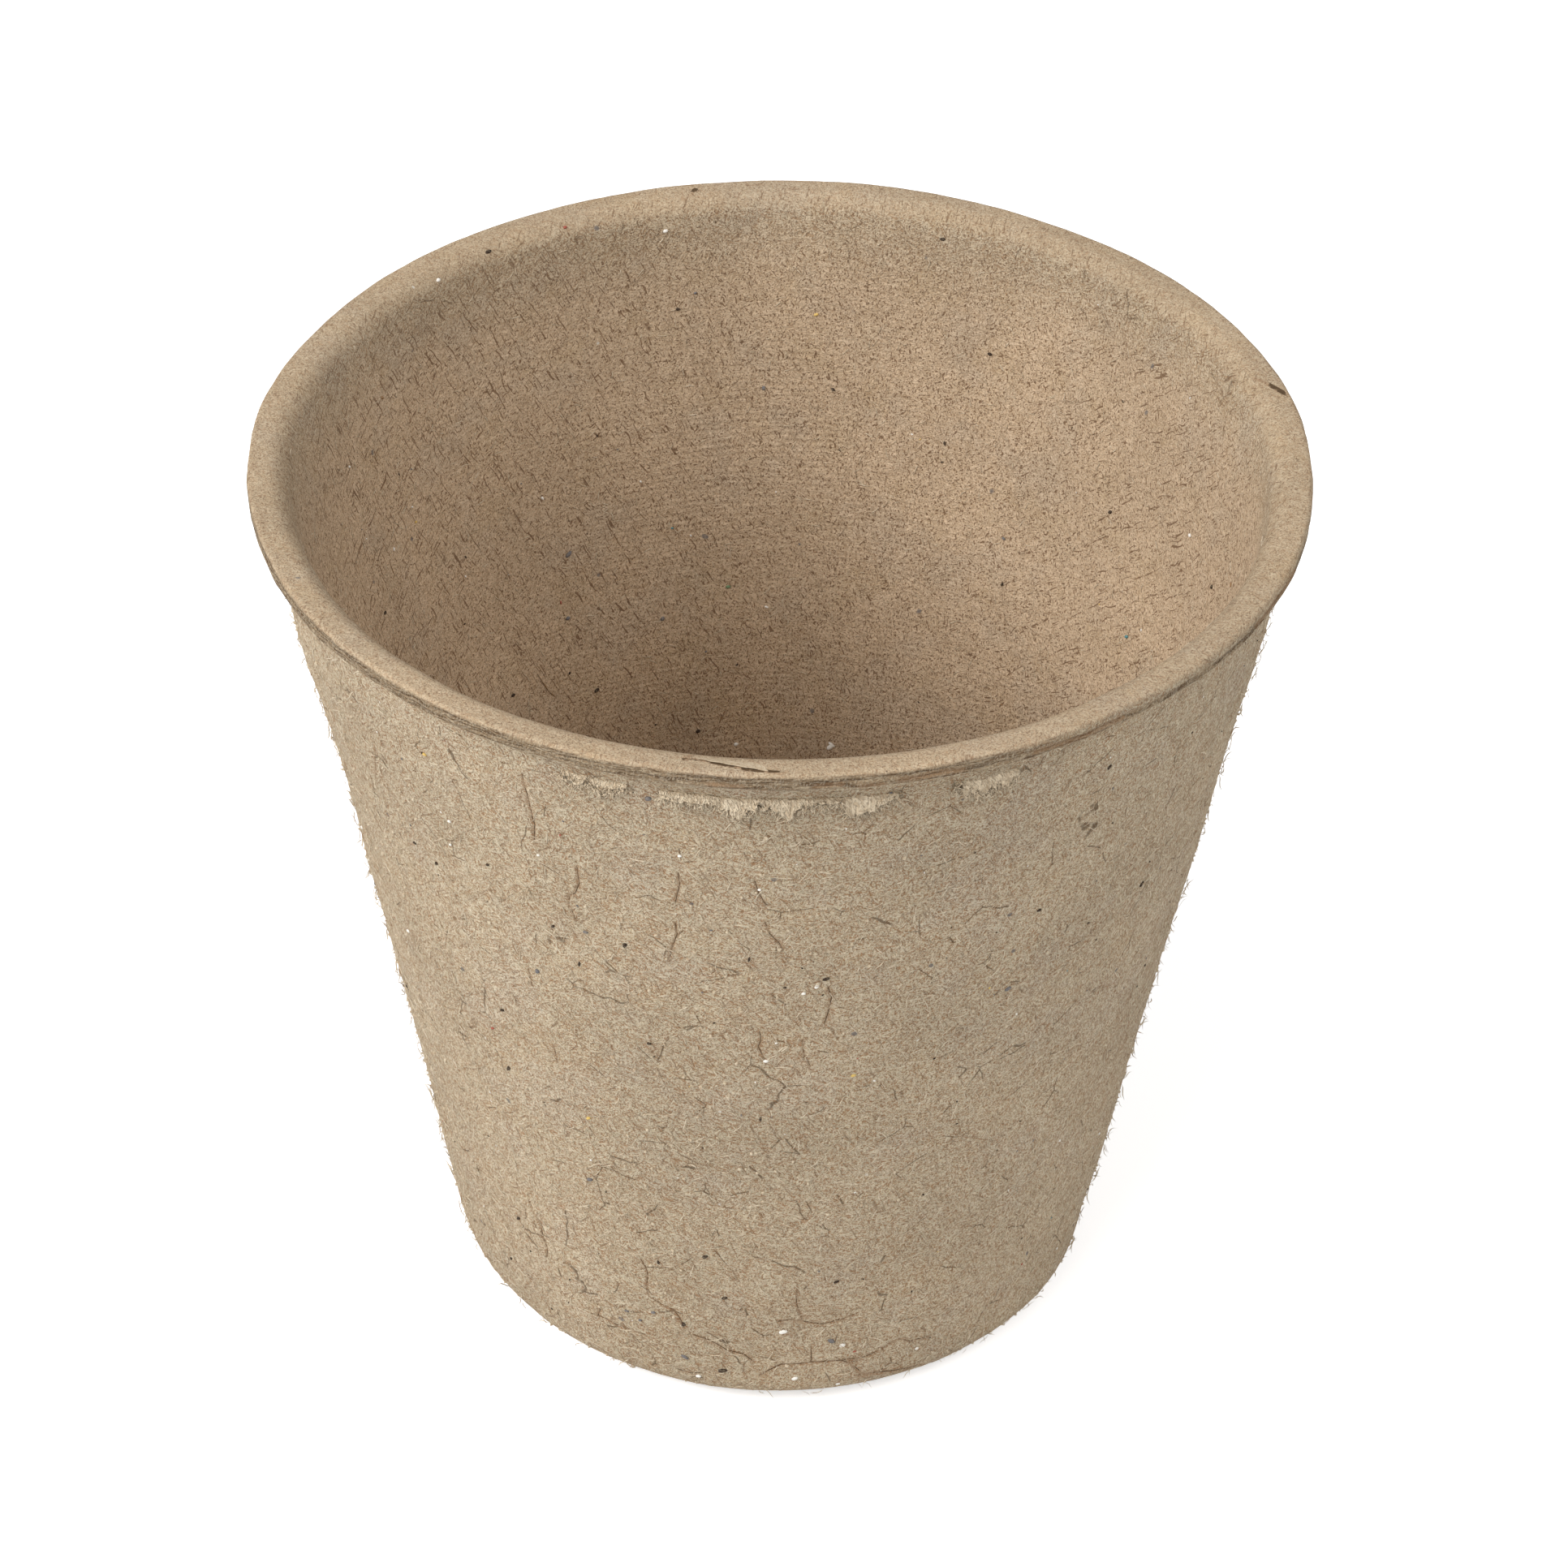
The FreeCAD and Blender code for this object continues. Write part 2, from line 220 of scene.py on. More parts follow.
hair = 1e-6  # places closer than this are the same
bpy.ops.object.mode_set(mode="EDIT")
bpy.ops.mesh.select_mode(type="VERT")
for index, (name, across, up, radius, steps, spacing) in enumerate(corners):
    here, ahead = places[index], places[(index + 1) % len(places)]
    turn = (here - places[index - 1]).angle(ahead - here)
    select_where(shell, points=lambda point: (point - here).length < hair)
    cut_back = radius * math.tan(turn / 2)
    bpy.ops.mesh.bevel(offset=cut_back, segments=steps, profile=0.5, affect="VERTICES", clamp_overlap=False)
bpy.ops.mesh.select_mode(type="EDGE")
for index, (name, across, up, radius, steps, spacing) in enumerate(corners):
    here, ahead = places[index], places[(index + 1) % len(places)]
    along = (ahead - here).normalized()

    def on_stretch(*ends):
        return all((end - here).cross(along).length < hair for end in ends)

    select_where(shell, edges=on_stretch)
    chosen = [edge for edge in bmesh.from_edit_mesh(shell.data).edges if edge.select]
    bpy.ops.mesh.subdivide(number_cuts=max(1, round(chosen[0].calc_length() / spacing) - 1))

segments = 284  # around the pot
bpy.ops.mesh.select_all(action="SELECT")
bpy.ops.mesh.spin(steps=segments, angle=2 * math.pi, center=(0, 0, 0), axis=(0, 0, 1))
bpy.ops.mesh.select_all(action="SELECT")
bpy.ops.mesh.remove_doubles(threshold=hair)
bpy.ops.mesh.normals_make_consistent(inside=False)
bpy.ops.object.mode_set(mode="OBJECT")


def read_places(items, field):
    """The places of a mesh's points or faces, one row for each."""
    flat = np.empty(len(items) * 3)
    items.foreach_get(field, flat)
    return flat.reshape(-1, 3)


def outer_spot(turn, height, out=0.0):
    """The place on the outer wall at a turn from the front, in degrees, and a height."""
    angle = math.radians(turn)
    radius = wall_radius(height) + out
    return Vector((radius * math.sin(angle), -radius * math.cos(angle), height))


def lip_spot(turn, radius):
    """The place on top of the lip at a turn from the front and a distance from the axis in mm."""
    angle = math.radians(turn)
    return Vector((radius * mm * math.sin(angle), -radius * mm * math.cos(angle), pot_height))


# hairline cracks in the outer skin, each a share of the usual width and a path of (turn, height in mm)
wall_cracks = [
    (1.0, [(-28.7, 68.3), (-28.5, 65.8), (-28.2, 63.2), (-28.6, 61.5)]),
    (0.8, [(-53.6, 62.6), (-54.6, 60.4), (-56.0, 57.9)]),
    (1.0, [(-23.4, 60.1), (-23.4, 58.3), (-24.1, 57.1), (-25.0, 56.6), (-25.1, 55.7), (-24.6, 54.2)]),
    (0.9, [(-11.1, 61.6), (-11.0, 60.5), (-11.6, 58.6)]),
    (1.0, [(-11.8, 56.3), (-11.7, 55.0), (-12.3, 53.7), (-12.9, 52.1)]),
    (0.8, [(-2.5, 61.7), (-2.1, 60.4), (-1.3, 59.1)]),
    (0.8, [(-1.3, 57.1), (-0.7, 55.8), (0.3, 54.9), (0.8, 54.1)]),
    (1.1, [(6.4, 49.7), (6.9, 48.6), (6.7, 47.4), (6.2, 45.8)]),
    (0.7, [(-31.0, 38.8), (-30.8, 36.9)]),
    (0.8, [(-33.1, 46.4), (-33.0, 44.6)]),
    (0.9, [(-2.0, 44.9), (-1.8, 43.9), (-2.2, 43.3), (-1.4, 41.9)]),
    (0.8, [(3.4, 44.0), (3.7, 42.4), (4.5, 41.2)]),
    (0.9, [(-42.6, 17.4), (-41.8, 15.9), (-40.9, 15.0), (-40.7, 13.7), (-40.3, 12.5), (-40.9, 11.4)]),
    (0.8, [(-21.1, 16.0), (-20.6, 14.5), (-21.0, 13.1), (-20.9, 11.8)]),
    (1.0, [(-19.7, 11.3), (-18.1, 10.9), (-16.7, 10.7), (-15.9, 10.0), (-15.1, 8.9)]),
    (1.3, [(-13.3, 8.0), (-11.0, 7.6), (-9.5, 7.2), (-7.9, 6.6), (-5.0, 6.2), (-3.7, 5.6)]),
    (1.0, [(-31.3, 8.4), (-30.9, 7.8), (-31.5, 7.0), (-29.6, 7.0), (-28.2, 6.8), (-25.3, 6.8), (-22.5, 6.7)]),
    (1.1, [(-2.2, 3.7), (-0.5, 4.4), (1.4, 5.1), (6.9, 5.3), (11.9, 5.1), (13.6, 4.6), (15.4, 3.5)]),
    (1.1, [(12.2, 5.2), (15.9, 5.0), (18.2, 5.4), (20.4, 6.1), (22.1, 6.5), (24.3, 5.8), (28.0, 5.6)]),
    (1.1, [(1.0, 10.5), (2.9, 10.7), (5.3, 10.4), (8.2, 9.9), (11.6, 10.3), (13.4, 10.7)]),
    (0.8, [(3.8, 14.6), (3.8, 12.7), (4.3, 11.8), (5.0, 10.6)]),
    (0.8, [(6.6, 7.2), (6.7, 5.5)]),
    (2.4, [(15.5, 2.9), (17.2, 2.8), (20.1, 2.6), (23.0, 2.3), (28.0, 1.8)]),
    (1.0, [(74.0, 52.0), (73.2, 49.6), (74.1, 47.8)]),
    (0.9, [(118.0, 31.0), (119.2, 28.8), (118.7, 26.6)]),
    (1.0, [(163.0, 60.2), (161.8, 57.7), (162.4, 55.1)]),
    (0.9, [(-104.0, 22.4), (-102.6, 20.0), (-103.1, 18.1)]),
    (1.1, [(-151.0, 12.0), (-147.5, 11.2), (-144.2, 11.9), (-141.0, 10.8)]),
    (1.0, [(96.0, 9.1), (99.5, 8.4), (103.4, 9.0)]),
    (1.0, [(138.0, 7.4), (143.0, 6.6), (147.5, 7.1), (152.0, 6.2)]),
]
# creases on top of the lip, with a path of (turn, distance from the axis in mm), and splits between the plies
# of its trimmed edge, with a path of (turn, height in mm)
lip_creases = [
    (1.0, [(110.9, 37.0), (107.0, 38.2), (103.4, 39.6)]), (1.2, [(-9.3, 37.7), (-9.6, 38.6)]),
    (0.8, [(-8.7, 38.5), (-6.0, 38.8), (-3.0, 39.3), (0.6, 39.6)]), (0.9, [(-168.0, 37.4), (-169.5, 38.9)]),
]
edge_splits = [
    (1.0, [(3.7, 72.4), (6.6, 72.55)]), (1.1, [(8.3, 72.2), (10.7, 72.25)]),
    (1.3, [(12.4, 72.45), (16.1, 72.55), (19.0, 72.45)]), (1.5, [(60.0, 72.5), (65.8, 72.6), (71.0, 72.5)]),
    (1.0, [(-7.0, 72.4), (-3.5, 72.35)]), (1.2, [(27.0, 72.5), (33.0, 72.4), (38.0, 72.5)]),
    (1.0, [(121.0, 72.5), (127.0, 72.4)]), (1.2, [(-98.0, 72.6), (-91.0, 72.5)]),
    (1.1, [(-152.0, 72.4), (-144.0, 72.5)]), (1.0, [(172.0, 72.5), (177.0, 72.6)]),
]
edge_out = top_radius - wall_radius(edge_foot + 0.5 * lip_edge_height)
cracks = [(width, [outer_spot(turn, height * mm) for turn, height in path]) for width, path in wall_cracks]
cracks += [(width, [lip_spot(turn, radius) for turn, radius in path]) for width, path in lip_creases]
cracks += [
    (width, [outer_spot(turn, height * mm, edge_out) for turn, height in path]) for width, path in edge_splits
]


def crack_distance(spots):
    """Each spot's distance from the nearest crack by its width, and the same with a minus on one side."""
    nearest = np.full(len(spots), 1.0)
    signed = np.full(len(spots), 1.0)
    for width, path in cracks:
        line = [np.array(place) for place in path]
        for start, end in zip(line, line[1:]):
            along = end - start
            share = np.clip((spots - start) @ along / (along @ along), 0, 1)
            gap = spots - start - share[:, None] * along
            distance = np.linalg.norm(gap, axis=1) / width
            side = np.sign(gap @ np.cross(along, start * (1, 1, 0)))
            closer = distance < nearest
            nearest[closer] = distance[closer]
            signed[closer] = (distance * side)[closer]
    return nearest, signed


# the skin is divided finer and finer towards the cracks, which makes them real grooves
for reach in (0.5 * mm, 0.27 * mm, 0.15 * mm):
    nearest, signed = crack_distance(read_places(shell.data.polygons, "center"))
    for part in (shell.data.vertices, shell.data.edges):
        part.foreach_set("select", np.zeros(len(part), bool))
    shell.data.polygons.foreach_set("select", nearest < reach)
    bpy.ops.object.mode_set(mode="EDIT")
    bpy.ops.mesh.select_mode(type="FACE")
    bpy.ops.mesh.subdivide(number_cuts=1)
    bpy.ops.object.mode_set(mode="OBJECT")

# the spin leaves its faces in an order that differs from run to run, so points and faces are sorted
spots = read_places(shell.data.vertices, "co")
order = np.lexsort(spots.T)
spots, new_index = spots[order], np.argsort(order)
faces = sorted(new_index[list(face.vertices)].tolist() for face in shell.data.polygons)
shell.data.clear_geometry()
shell.data.from_pydata(spots.tolist(), [], faces)

turns = np.degrees(np.arctan2(spots[:, 0], -spots[:, 1]))  # from the front
radii = np.hypot(spots[:, 0], spots[:, 1])
heights = spots[:, 2]
from_wall_line = (radii - wall_radius(heights)) * math.cos(wall_tilt)
inside = (from_wall_line < -0.6 * wall_thickness) & (heights > 0.5 * floor_thickness)
nearest, signed = crack_distance(spots)
nearest[inside] = 1.0


def swell(lumps):
    """Sum of soft rises and dents, each (turn, height in mm, width in degrees, spread in mm, out in mm)."""
    total = np.zeros(len(spots))
    for turn, height, width, spread, out in lumps:
        away = (turns - turn + 180) % 360 - 180
        total += out * mm * np.exp(-((away / width) ** 2) - ((heights / mm - height) / spread) ** 2)
    return total


# the wall isn't quite round: lumps that the outlines and the foot show, and a few guessed at the back
wall_lumps = [
    (-82, 62, 16, 4, 0.18), (-82, 50, 20, 8, -0.36), (-82, 33, 22, 9, -0.18), (-82, 7, 24, 7, 0.24),
    (82, 62, 16, 6, 0.34), (82, 46, 20, 9, 0.14), (82, 4, 18, 4, -0.26), (62, 1, 12, 4, 0.22),
    (-50, 1, 18, 3, -0.22), (-24, 1, 12, 3, -0.2), (10, 3, 9, 4, 0.14), (-100, 73, 14, 6, 0.16),
    (150, 40, 26, 16, -0.22), (-140, 25, 24, 14, 0.18), (180, 12, 20, 8, -0.16), (30, 36, 16, 12, 0.1),
    (-30, 45, 14, 12, -0.1), (0, 22, 18, 10, -0.08),
]
# the unevenness all over the skin: lumps per metre, how far they rise in mm, and a shift of the noise
coarse_layers = [(70, 0.16, (0, 0, 0)), (190, 0.07, (9, 2, 4))]
fine_layers = [(480, 0.045, (3, 7, 1)), (1050, 0.03, (0, 0, 0))]
fine_inside = 0.35  # the smooth screen leaves this share of the fine ones


def uneven(point, layers):
    return sum(noise(point * scale + Vector(shift)) * rise for scale, rise, shift in layers)


push = swell(wall_lumps)
for index, spot in enumerate(spots):
    point = Vector(spot)
    fine = uneven(point, fine_layers) * (fine_inside if inside[index] else 1.0)
    push[index] += (uneven(point, coarse_layers) + fine) * mm
foot_share, foot_rise = 0.4, 4 * mm  # the foot is pressed flatter than the wall
push *= foot_share + (1 - foot_share) * np.clip(heights / foot_rise, 0, 1)

# the trimmed edge: plies that split apart, in bands that run round it and fade
above_edge = (heights - edge_foot) / lip_edge_height
at_rim = radii > top_radius - 0.3 * mm
on_edge = at_rim & (above_edge > -0.15) & (above_edge < 0.86)
ply_height, ply_run, ply_depth, ply_opening = 0.2 * mm, 5 * mm, 0.1 * mm, 0.35
for index in np.flatnonzero(on_edge):
    x, y, z = spots[index]
    split = noise(Vector((x / ply_run, y / ply_run, z / ply_height)))
    push[index] -= ply_depth * max(0.0, ply_opening + split)

# grooves along the cracks, with one lip of each standing up a little
groove_depth, groove_width = 0.1 * mm, 0.058 * mm
bank_rise, bank_gap, bank_width, bank_reach = 0.012 * mm, 0.2 * mm, 0.14 * mm, 0.9 * mm
push -= groove_depth * np.exp(-((nearest / groove_width) ** 2))
push += bank_rise * np.exp(-(((signed - bank_gap) / bank_width) ** 2)) * (nearest < bank_reach)

outward = spots * (1, 1, 0) / radii[:, None]
spots = np.clip(spots + outward * push[:, None], shell_low, shell_high)
shell.data.vertices.foreach_set("co", spots.ravel())
shell.data.update()


def soft_step(values, start, end):
    """From 0 to 1 while the values go from start to end, with no kink."""
    share = np.clip((values - start) / (end - start), 0, 1)
    return share * share * (3 - 2 * share)


def write_measure(piece, name, values):
    """Keep one number per point on the piece, for its material to read."""
    measure = piece.data.attributes.new(name, "FLOAT", "POINT")
    measure.data.foreach_set("value", values.astype(np.float32))


inner_at_lip = 0.35  # the inside takes on its redder colour in full lower down; that colour is partly the pulp's own and partly painted bounce light between the walls
below_top = (pot_height - heights) / mm
inner_share = inner_at_lip + (1 - inner_at_lip) * soft_step(below_top, 0.5, 8)
lip_share = np.where(inside, soft_step(below_top, 1.5, 0.5), soft_step(below_top, 0.42, 0.3))
write_measure(shell, "inner_share", inside * inner_share)
write_measure(shell, "lip_share", lip_share)
edge_share = soft_step(above_edge, -0.12, 0.02) * (1 - soft_step(above_edge, 0.74, 0.84))
grey_band = soft_step(turns, 18, 40) * soft_step(above_edge, 0.35, 0.55)
write_measure(shell, "edge_share", edge_share * at_rim * (1 - 0.75 * grey_band))
write_measure(shell, "crack_near", nearest / mm)
write_measure(shell, "crack_side", signed / mm)


def measure_of(tree, name):
    return put(tree, "Attribute", attribute_name=name).outputs["Fac"]


def ramp(tree, value, start, end, low=0.0, high=1.0):
    """Smooth step from low to high while the value goes from start to end."""
    return put(tree, "MapRange", value, start, end, low, high, interpolation_type="SMOOTHSTEP")


def clouds(tree, place, scale, detail, start, end, low=0.0, high=1.0, rough=0.5):
    """Cloudy noise of so many lumps per metre, from low to high while it goes from start to end."""
    return ramp(tree, put(tree, "TexNoise", place, None, scale, detail, rough), start, end, low, high)


def cover(tree, under, share, over, most=1.0):
    """Lay one colour, (red, green, blue) or a node, over another, as the share says and up to the most."""
    under, over = [(*paint, 1) if isinstance(paint, tuple) else paint for paint in (under, over)]
    return put(tree, "MixRGB", times(tree, share, most) if most < 1 else share, under, over)


def streaks(tree, place, lays, length, width, start, end):
    """Matted fibre: noise stretched along several lays, (dip, turn) in degrees; the strongest shows."""
    strongest = None
    for dip, turn in lays:
        rotation = (0, math.radians(dip), math.radians(turn))
        size = (length, width, width)
        stretched = put(tree, "Mapping", place, None, rotation, size, vector_type="TEXTURE")
        layer = put(tree, "TexNoise", stretched, None, 1.0, 0.0)
        strongest = maths(tree, "MAXIMUM", strongest, layer) if strongest else layer
    return ramp(tree, strongest, start, end)


pulp_roughness, pulp_gloss = 0.92, 0.16


def start_pulp(name, plain):
    """A dull fibrous material; returns it with its tree, its shader, and plain and bent coordinates."""
    material, tree, shader = start_material(name, plain, pulp_roughness, pulp_gloss)
    place = put(tree, "TexCoord").outputs["Object"]
    bend_scale, bend_reach = 620.0, 0.6 * mm
    bend = put(tree, "TexNoise", place, None, bend_scale, 1.0)
    shift = put(tree, "VectorMath", bend.outputs["Color"], (0.5, 0.5, 0.5), operation="SUBTRACT")
    shift = put(tree, "VectorMath", shift, (bend_reach,) * 3, operation="MULTIPLY")
    bent = put(tree, "VectorMath", place, shift, operation="ADD")
    return material, tree, shader, place, bent


outer_plain, outer_pale, outer_brown = (0.503, 0.419, 0.29), (0.62, 0.536, 0.398), (0.30, 0.165, 0.082)
outer_warm, outer_grey = (0.50, 0.37, 0.22), (0.47, 0.41, 0.33)
# the inside's colours are redder than the outside's: partly the pulp's own, partly painted bounce light
inner_plain, inner_pale, inner_brown = (0.595, 0.448, 0.302), (0.69, 0.54, 0.385), (0.30, 0.195, 0.11)
lip_plain, lip_pale = (0.48, 0.372, 0.25), (0.60, 0.485, 0.34)
# the trimmed edge's colours: its plain one is partly painted shade, its darker one is painted shade between
# the plies
edge_plain, ply_gap_shade = (0.275, 0.197, 0.12), (0.115, 0.07, 0.038)
# the first is painted shade for the cracks and the crazing, the second the dark hair fibres' own colour
crack_shade_brown, hair_brown = (0.095, 0.058, 0.03), (0.15, 0.08, 0.04)
pulp, tree, shader, place, bent = start_pulp("moulded_pulp", outer_plain)
inner, lip = measure_of(tree, "inner_share"), measure_of(tree, "lip_share")
pale_lays = [(0, 10), (58, 95), (-35, 60), (20, 150)]
brown_lays = [(35, 0), (-60, 40), (10, 110), (-20, 170)]
hair_lays = [(65, 20), (-25, 75), (40, 130)]
pale_fibre = streaks(tree, bent, pale_lays, 2.0 * mm, 0.14 * mm, 0.6, 0.72)
brown_fibre = streaks(tree, bent, brown_lays, 1.8 * mm, 0.11 * mm, 0.61, 0.7)
hair_fibre = streaks(tree, bent, hair_lays, 3.0 * mm, 0.13 * mm, 0.67, 0.75)
calm = maths(tree, "MAXIMUM", times(tree, inner, 0.42), times(tree, lip, 0.5))
strength = maths(tree, "SUBTRACT", 1.0, calm)
plain = cover(tree, cover(tree, outer_plain, inner, inner_plain), lip, lip_plain)
pale = cover(tree, cover(tree, outer_pale, inner, inner_pale), lip, lip_pale)
brown = cover(tree, outer_brown, inner, inner_brown)
warm_clouds = clouds(tree, place, 260.0, 3.0, 0.5, 0.68, rough=0.6)
colour = cover(tree, plain, warm_clouds, outer_warm, 0.34)
elsewhere = put(tree, "VectorMath", place, (0.2, 0.1, 0.3), operation="ADD")
grey_clouds = clouds(tree, elsewhere, 170.0, 3.0, 0.5, 0.66, rough=0.6)
colour = cover(tree, colour, times(tree, grey_clouds, strength), outer_grey, 0.45)
colour = cover(tree, colour, clouds(tree, bent, 1500.0, 2.0, 0.42, 0.68, rough=0.6), brown, 0.2)
colour = cover(tree, colour, clouds(tree, bent, 1500.0, 2.0, 0.56, 0.3, rough=0.6), pale, 0.24)
colour = cover(tree, colour, times(tree, brown_fibre, strength), brown, 0.85)
colour = cover(tree, colour, times(tree, pale_fibre, strength), pale, 0.65)
hair_share = maths(tree, "ADD", 0.5, times(tree, inner, 0.3))
colour = cover(tree, colour, times(tree, hair_fibre, hair_share), hair_brown)

# crazing, the finest cracks of the outer skin, broken off here and there, drawn in colour alone: their dark
# lines are painted shade
crazing_size = 5 * mm
crazing = put(tree, "Mapping", bent, None, None, (crazing_size,) * 3, vector_type="TEXTURE")
crazing = put(tree, "TexVoronoi", crazing, None, 1.0, feature="DISTANCE_TO_EDGE")
crazing = ramp(tree, crazing, 0.014, 0.005)
crazing = times(tree, crazing, clouds(tree, place, 420.0, 1.0, 0.55, 0.61))
outer_only = maths(tree, "SUBTRACT", 0.7, times(tree, calm, 1.2), use_clamp=True)
colour = cover(tree, colour, times(tree, crazing, outer_only), crack_shade_brown)
shade = clouds(tree, place, 75.0, 2.0, 0.3, 0.7, 0.94, 1.06)
grain = put(tree, "TexNoise", place, None, 6200.0, 1.0)
shade = times(tree, shade, ramp(tree, grain, 0.25, 0.75, 0.87, 1.13))
colour = put(tree, "VectorMath", colour, shade, operation="MULTIPLY")

# small flecks of bark, print and bleached fibre in the pulp: the size of the cells that hold one each, the
# share of the cells that stay empty, the size of a fleck in its cell, and its colour
scattered = [
    (1.3 * mm, 0.78, 0.08, (0.085, 0.055, 0.035)),
    (2.9 * mm, 0.86, 0.10, (0.14, 0.13, 0.13)),
    (3.6 * mm, 0.86, 0.05, (0.72, 0.68, 0.6)),
]
for cell, empty, size, tint in scattered:
    drawn = put(tree, "Mapping", bent, None, None, (cell, 0.7 * cell, cell), vector_type="TEXTURE")
    fleck = put(tree, "TexVoronoi", drawn, None, 1.0)
    filled = maths(tree, "GREATER_THAN", put(tree, "SeparateColor", fleck.outputs["Color"]), empty)
    spot_mask = times(tree, ramp(tree, fleck.outputs["Distance"], size, 0.55 * size), filled)
    colour = cover(tree, colour, spot_mask, tint, 0.75)

# the trimmed edge: darker partly by the cut plies' own colour and partly by painted shade of its face, and
# darkest between its plies, where the dark is painted shade in the gaps
edge = measure_of(tree, "edge_share")
ply_size = (3.2 * mm, 3.2 * mm, 0.115 * mm)
plies = put(tree, "Mapping", bent, None, None, ply_size, vector_type="TEXTURE")
ply_gap = clouds(tree, plies, 1.0, 1.0, 0.46, 0.64, rough=0.6)
edge_colour = cover(tree, edge_plain, ply_gap, ply_gap_shade)
edge_colour = cover(tree, edge_colour, pale_fibre, pale, 0.3)
edge_grain = ramp(tree, grain, 0.25, 0.75, 0.8, 1.2)
edge_colour = put(tree, "VectorMath", edge_colour, edge_grain, operation="MULTIPLY")
colour = cover(tree, colour, edge, edge_colour)

# the dark line at the bottom of each crack is painted shade in the groove, broken here and there, in a
# browner band; distances are in mm
crack_shade_line = ramp(tree, maths(tree, "ABSOLUTE", measure_of(tree, "crack_side")), 0.05, 0.014)
crack_near = measure_of(tree, "crack_near")
crack_shade_line = times(tree, crack_shade_line, ramp(tree, crack_near, 0.3, 0.2))
crack_shade_line = times(tree, crack_shade_line, clouds(tree, place, 900.0, 2.0, 0.38, 0.5))
colour = cover(tree, colour, ramp(tree, crack_near, 0.3, 0.05, 0.0, 0.4), brown)
colour = cover(tree, colour, crack_shade_line, crack_shade_brown, 0.95)

# relief: fibres, the gaps between the plies, and inside the woven print of the forming screen
row_pitch, column_pitch, print_radius = 0.54 * mm, 0.56 * mm, 33 * mm
print_share, ply_share, relief_height, print_wander = 0.38, 1.5, 0.034 * mm, 0.6 * mm
wander = put(tree, "TexNoise", place, None, 90.0, 1.0).outputs["Color"]
wander = put(tree, "VectorMath", wander, (print_wander,) * 3, operation="MULTIPLY")
wandered = put(tree, "VectorMath", place, wander, operation="ADD")
across, back, up = put(tree, "SeparateXYZ", wandered).outputs
rows = maths(tree, "SINE", times(tree, up, 2 * math.pi / (row_pitch * math.cos(wall_tilt))))
turn = maths(tree, "ARCTAN2", back, across)
column_count = round(2 * math.pi * print_radius / column_pitch)
columns = maths(tree, "SINE", times(tree, turn, column_count))
weave = maths(tree, "ADD", rows, times(tree, columns, 0.55))
patch = clouds(tree, place, 55.0, 1.0, 0.35, 0.62, 0.3, 0.85)
weave = times(tree, weave, times(tree, patch, ramp(tree, inner, 0.7, 1.0)))
relief = maths(tree, "SUBTRACT", pale_fibre, times(tree, brown_fibre, 0.7))
relief = times(tree, relief, strength)
relief = maths(tree, "ADD", relief, times(tree, weave, print_share))
ply_relief = times(tree, times(tree, edge, ply_gap), ply_share)
relief = maths(tree, "SUBTRACT", relief, ply_relief)


def finish_pulp(tree, shader, colour, relief, relief_height):
    """Join the colour to the shader, and the relief as a bump of that height."""
    tree.links.new(colour.outputs[0], shader.inputs["Base Color"])
    bump = put(tree, "Bump", 1.0, relief_height)
    tree.links.new(relief.outputs[0], bump.inputs["Height"])
    tree.links.new(bump.outputs[0], shader.inputs["Normal"])


finish_pulp(tree, shader, colour, relief, relief_height)
shell.data.materials.clear()
shell.data.materials.append(pulp)

bpy.ops.object.shade_smooth()
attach(shell, "root")
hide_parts("pot_shell")


# Three places under the lip where the skin tore as the pot left its mould. Each is a thin frayed flap
# of the same pulp, still one with the wall along its upper edge, ragged below, with loose fibres.
skin = BVHTree.FromObject(shell, bpy.context.evaluated_depsgraph_get())
torn_turns = {"left": (-23.8, -16.2), "middle": (-12.5, 12.9), "right": (19.1, 26.7)}
torn_edges = {  # the ragged lower edges, (turn, height in mm)
    "left": [(-23.8, 69.9), (-21.8, 69.0), (-20.6, 69.6), (-19.0, 68.8), (-17.6, 69.2), (-16.2, 69.9)],
    "middle": [
        (-12.5, 69.6), (-9.3, 69.4), (-6.8, 69.6), (-5.0, 69.0), (-3.9, 68.2), (-3.2, 69.0), (-1.9, 69.7),
        (0.1, 69.1), (1.3, 68.3), (2.1, 69.3), (4.4, 69.9), (6.6, 69.9), (7.8, 68.4), (9.9, 68.7),
        (11.9, 69.8), (12.9, 69.7),
    ],
    "right": [(19.1, 69.9), (21.0, 69.1), (22.4, 68.3), (24.0, 69.0), (25.2, 68.7), (26.7, 69.8)],
}
# the frayed pulp is paler than the wall: partly its own paler fibre, partly painted light that lifts it out
# of the shade under the lip
torn_plain, torn_pale, torn_brown = (0.70, 0.57, 0.405), (0.82, 0.69, 0.51), (0.42, 0.28, 0.155)


def thicken(sheet, thickness, offset):
    """Give a sheet its thickness, to both sides or to one, as the offset says."""
    bpy.context.view_layer.objects.active = sheet
    solidify = sheet.modifiers.new("thickness", "SOLIDIFY")
    solidify.thickness = thickness
    solidify.offset = offset
    bpy.ops.object.modifier_apply(modifier="thickness")


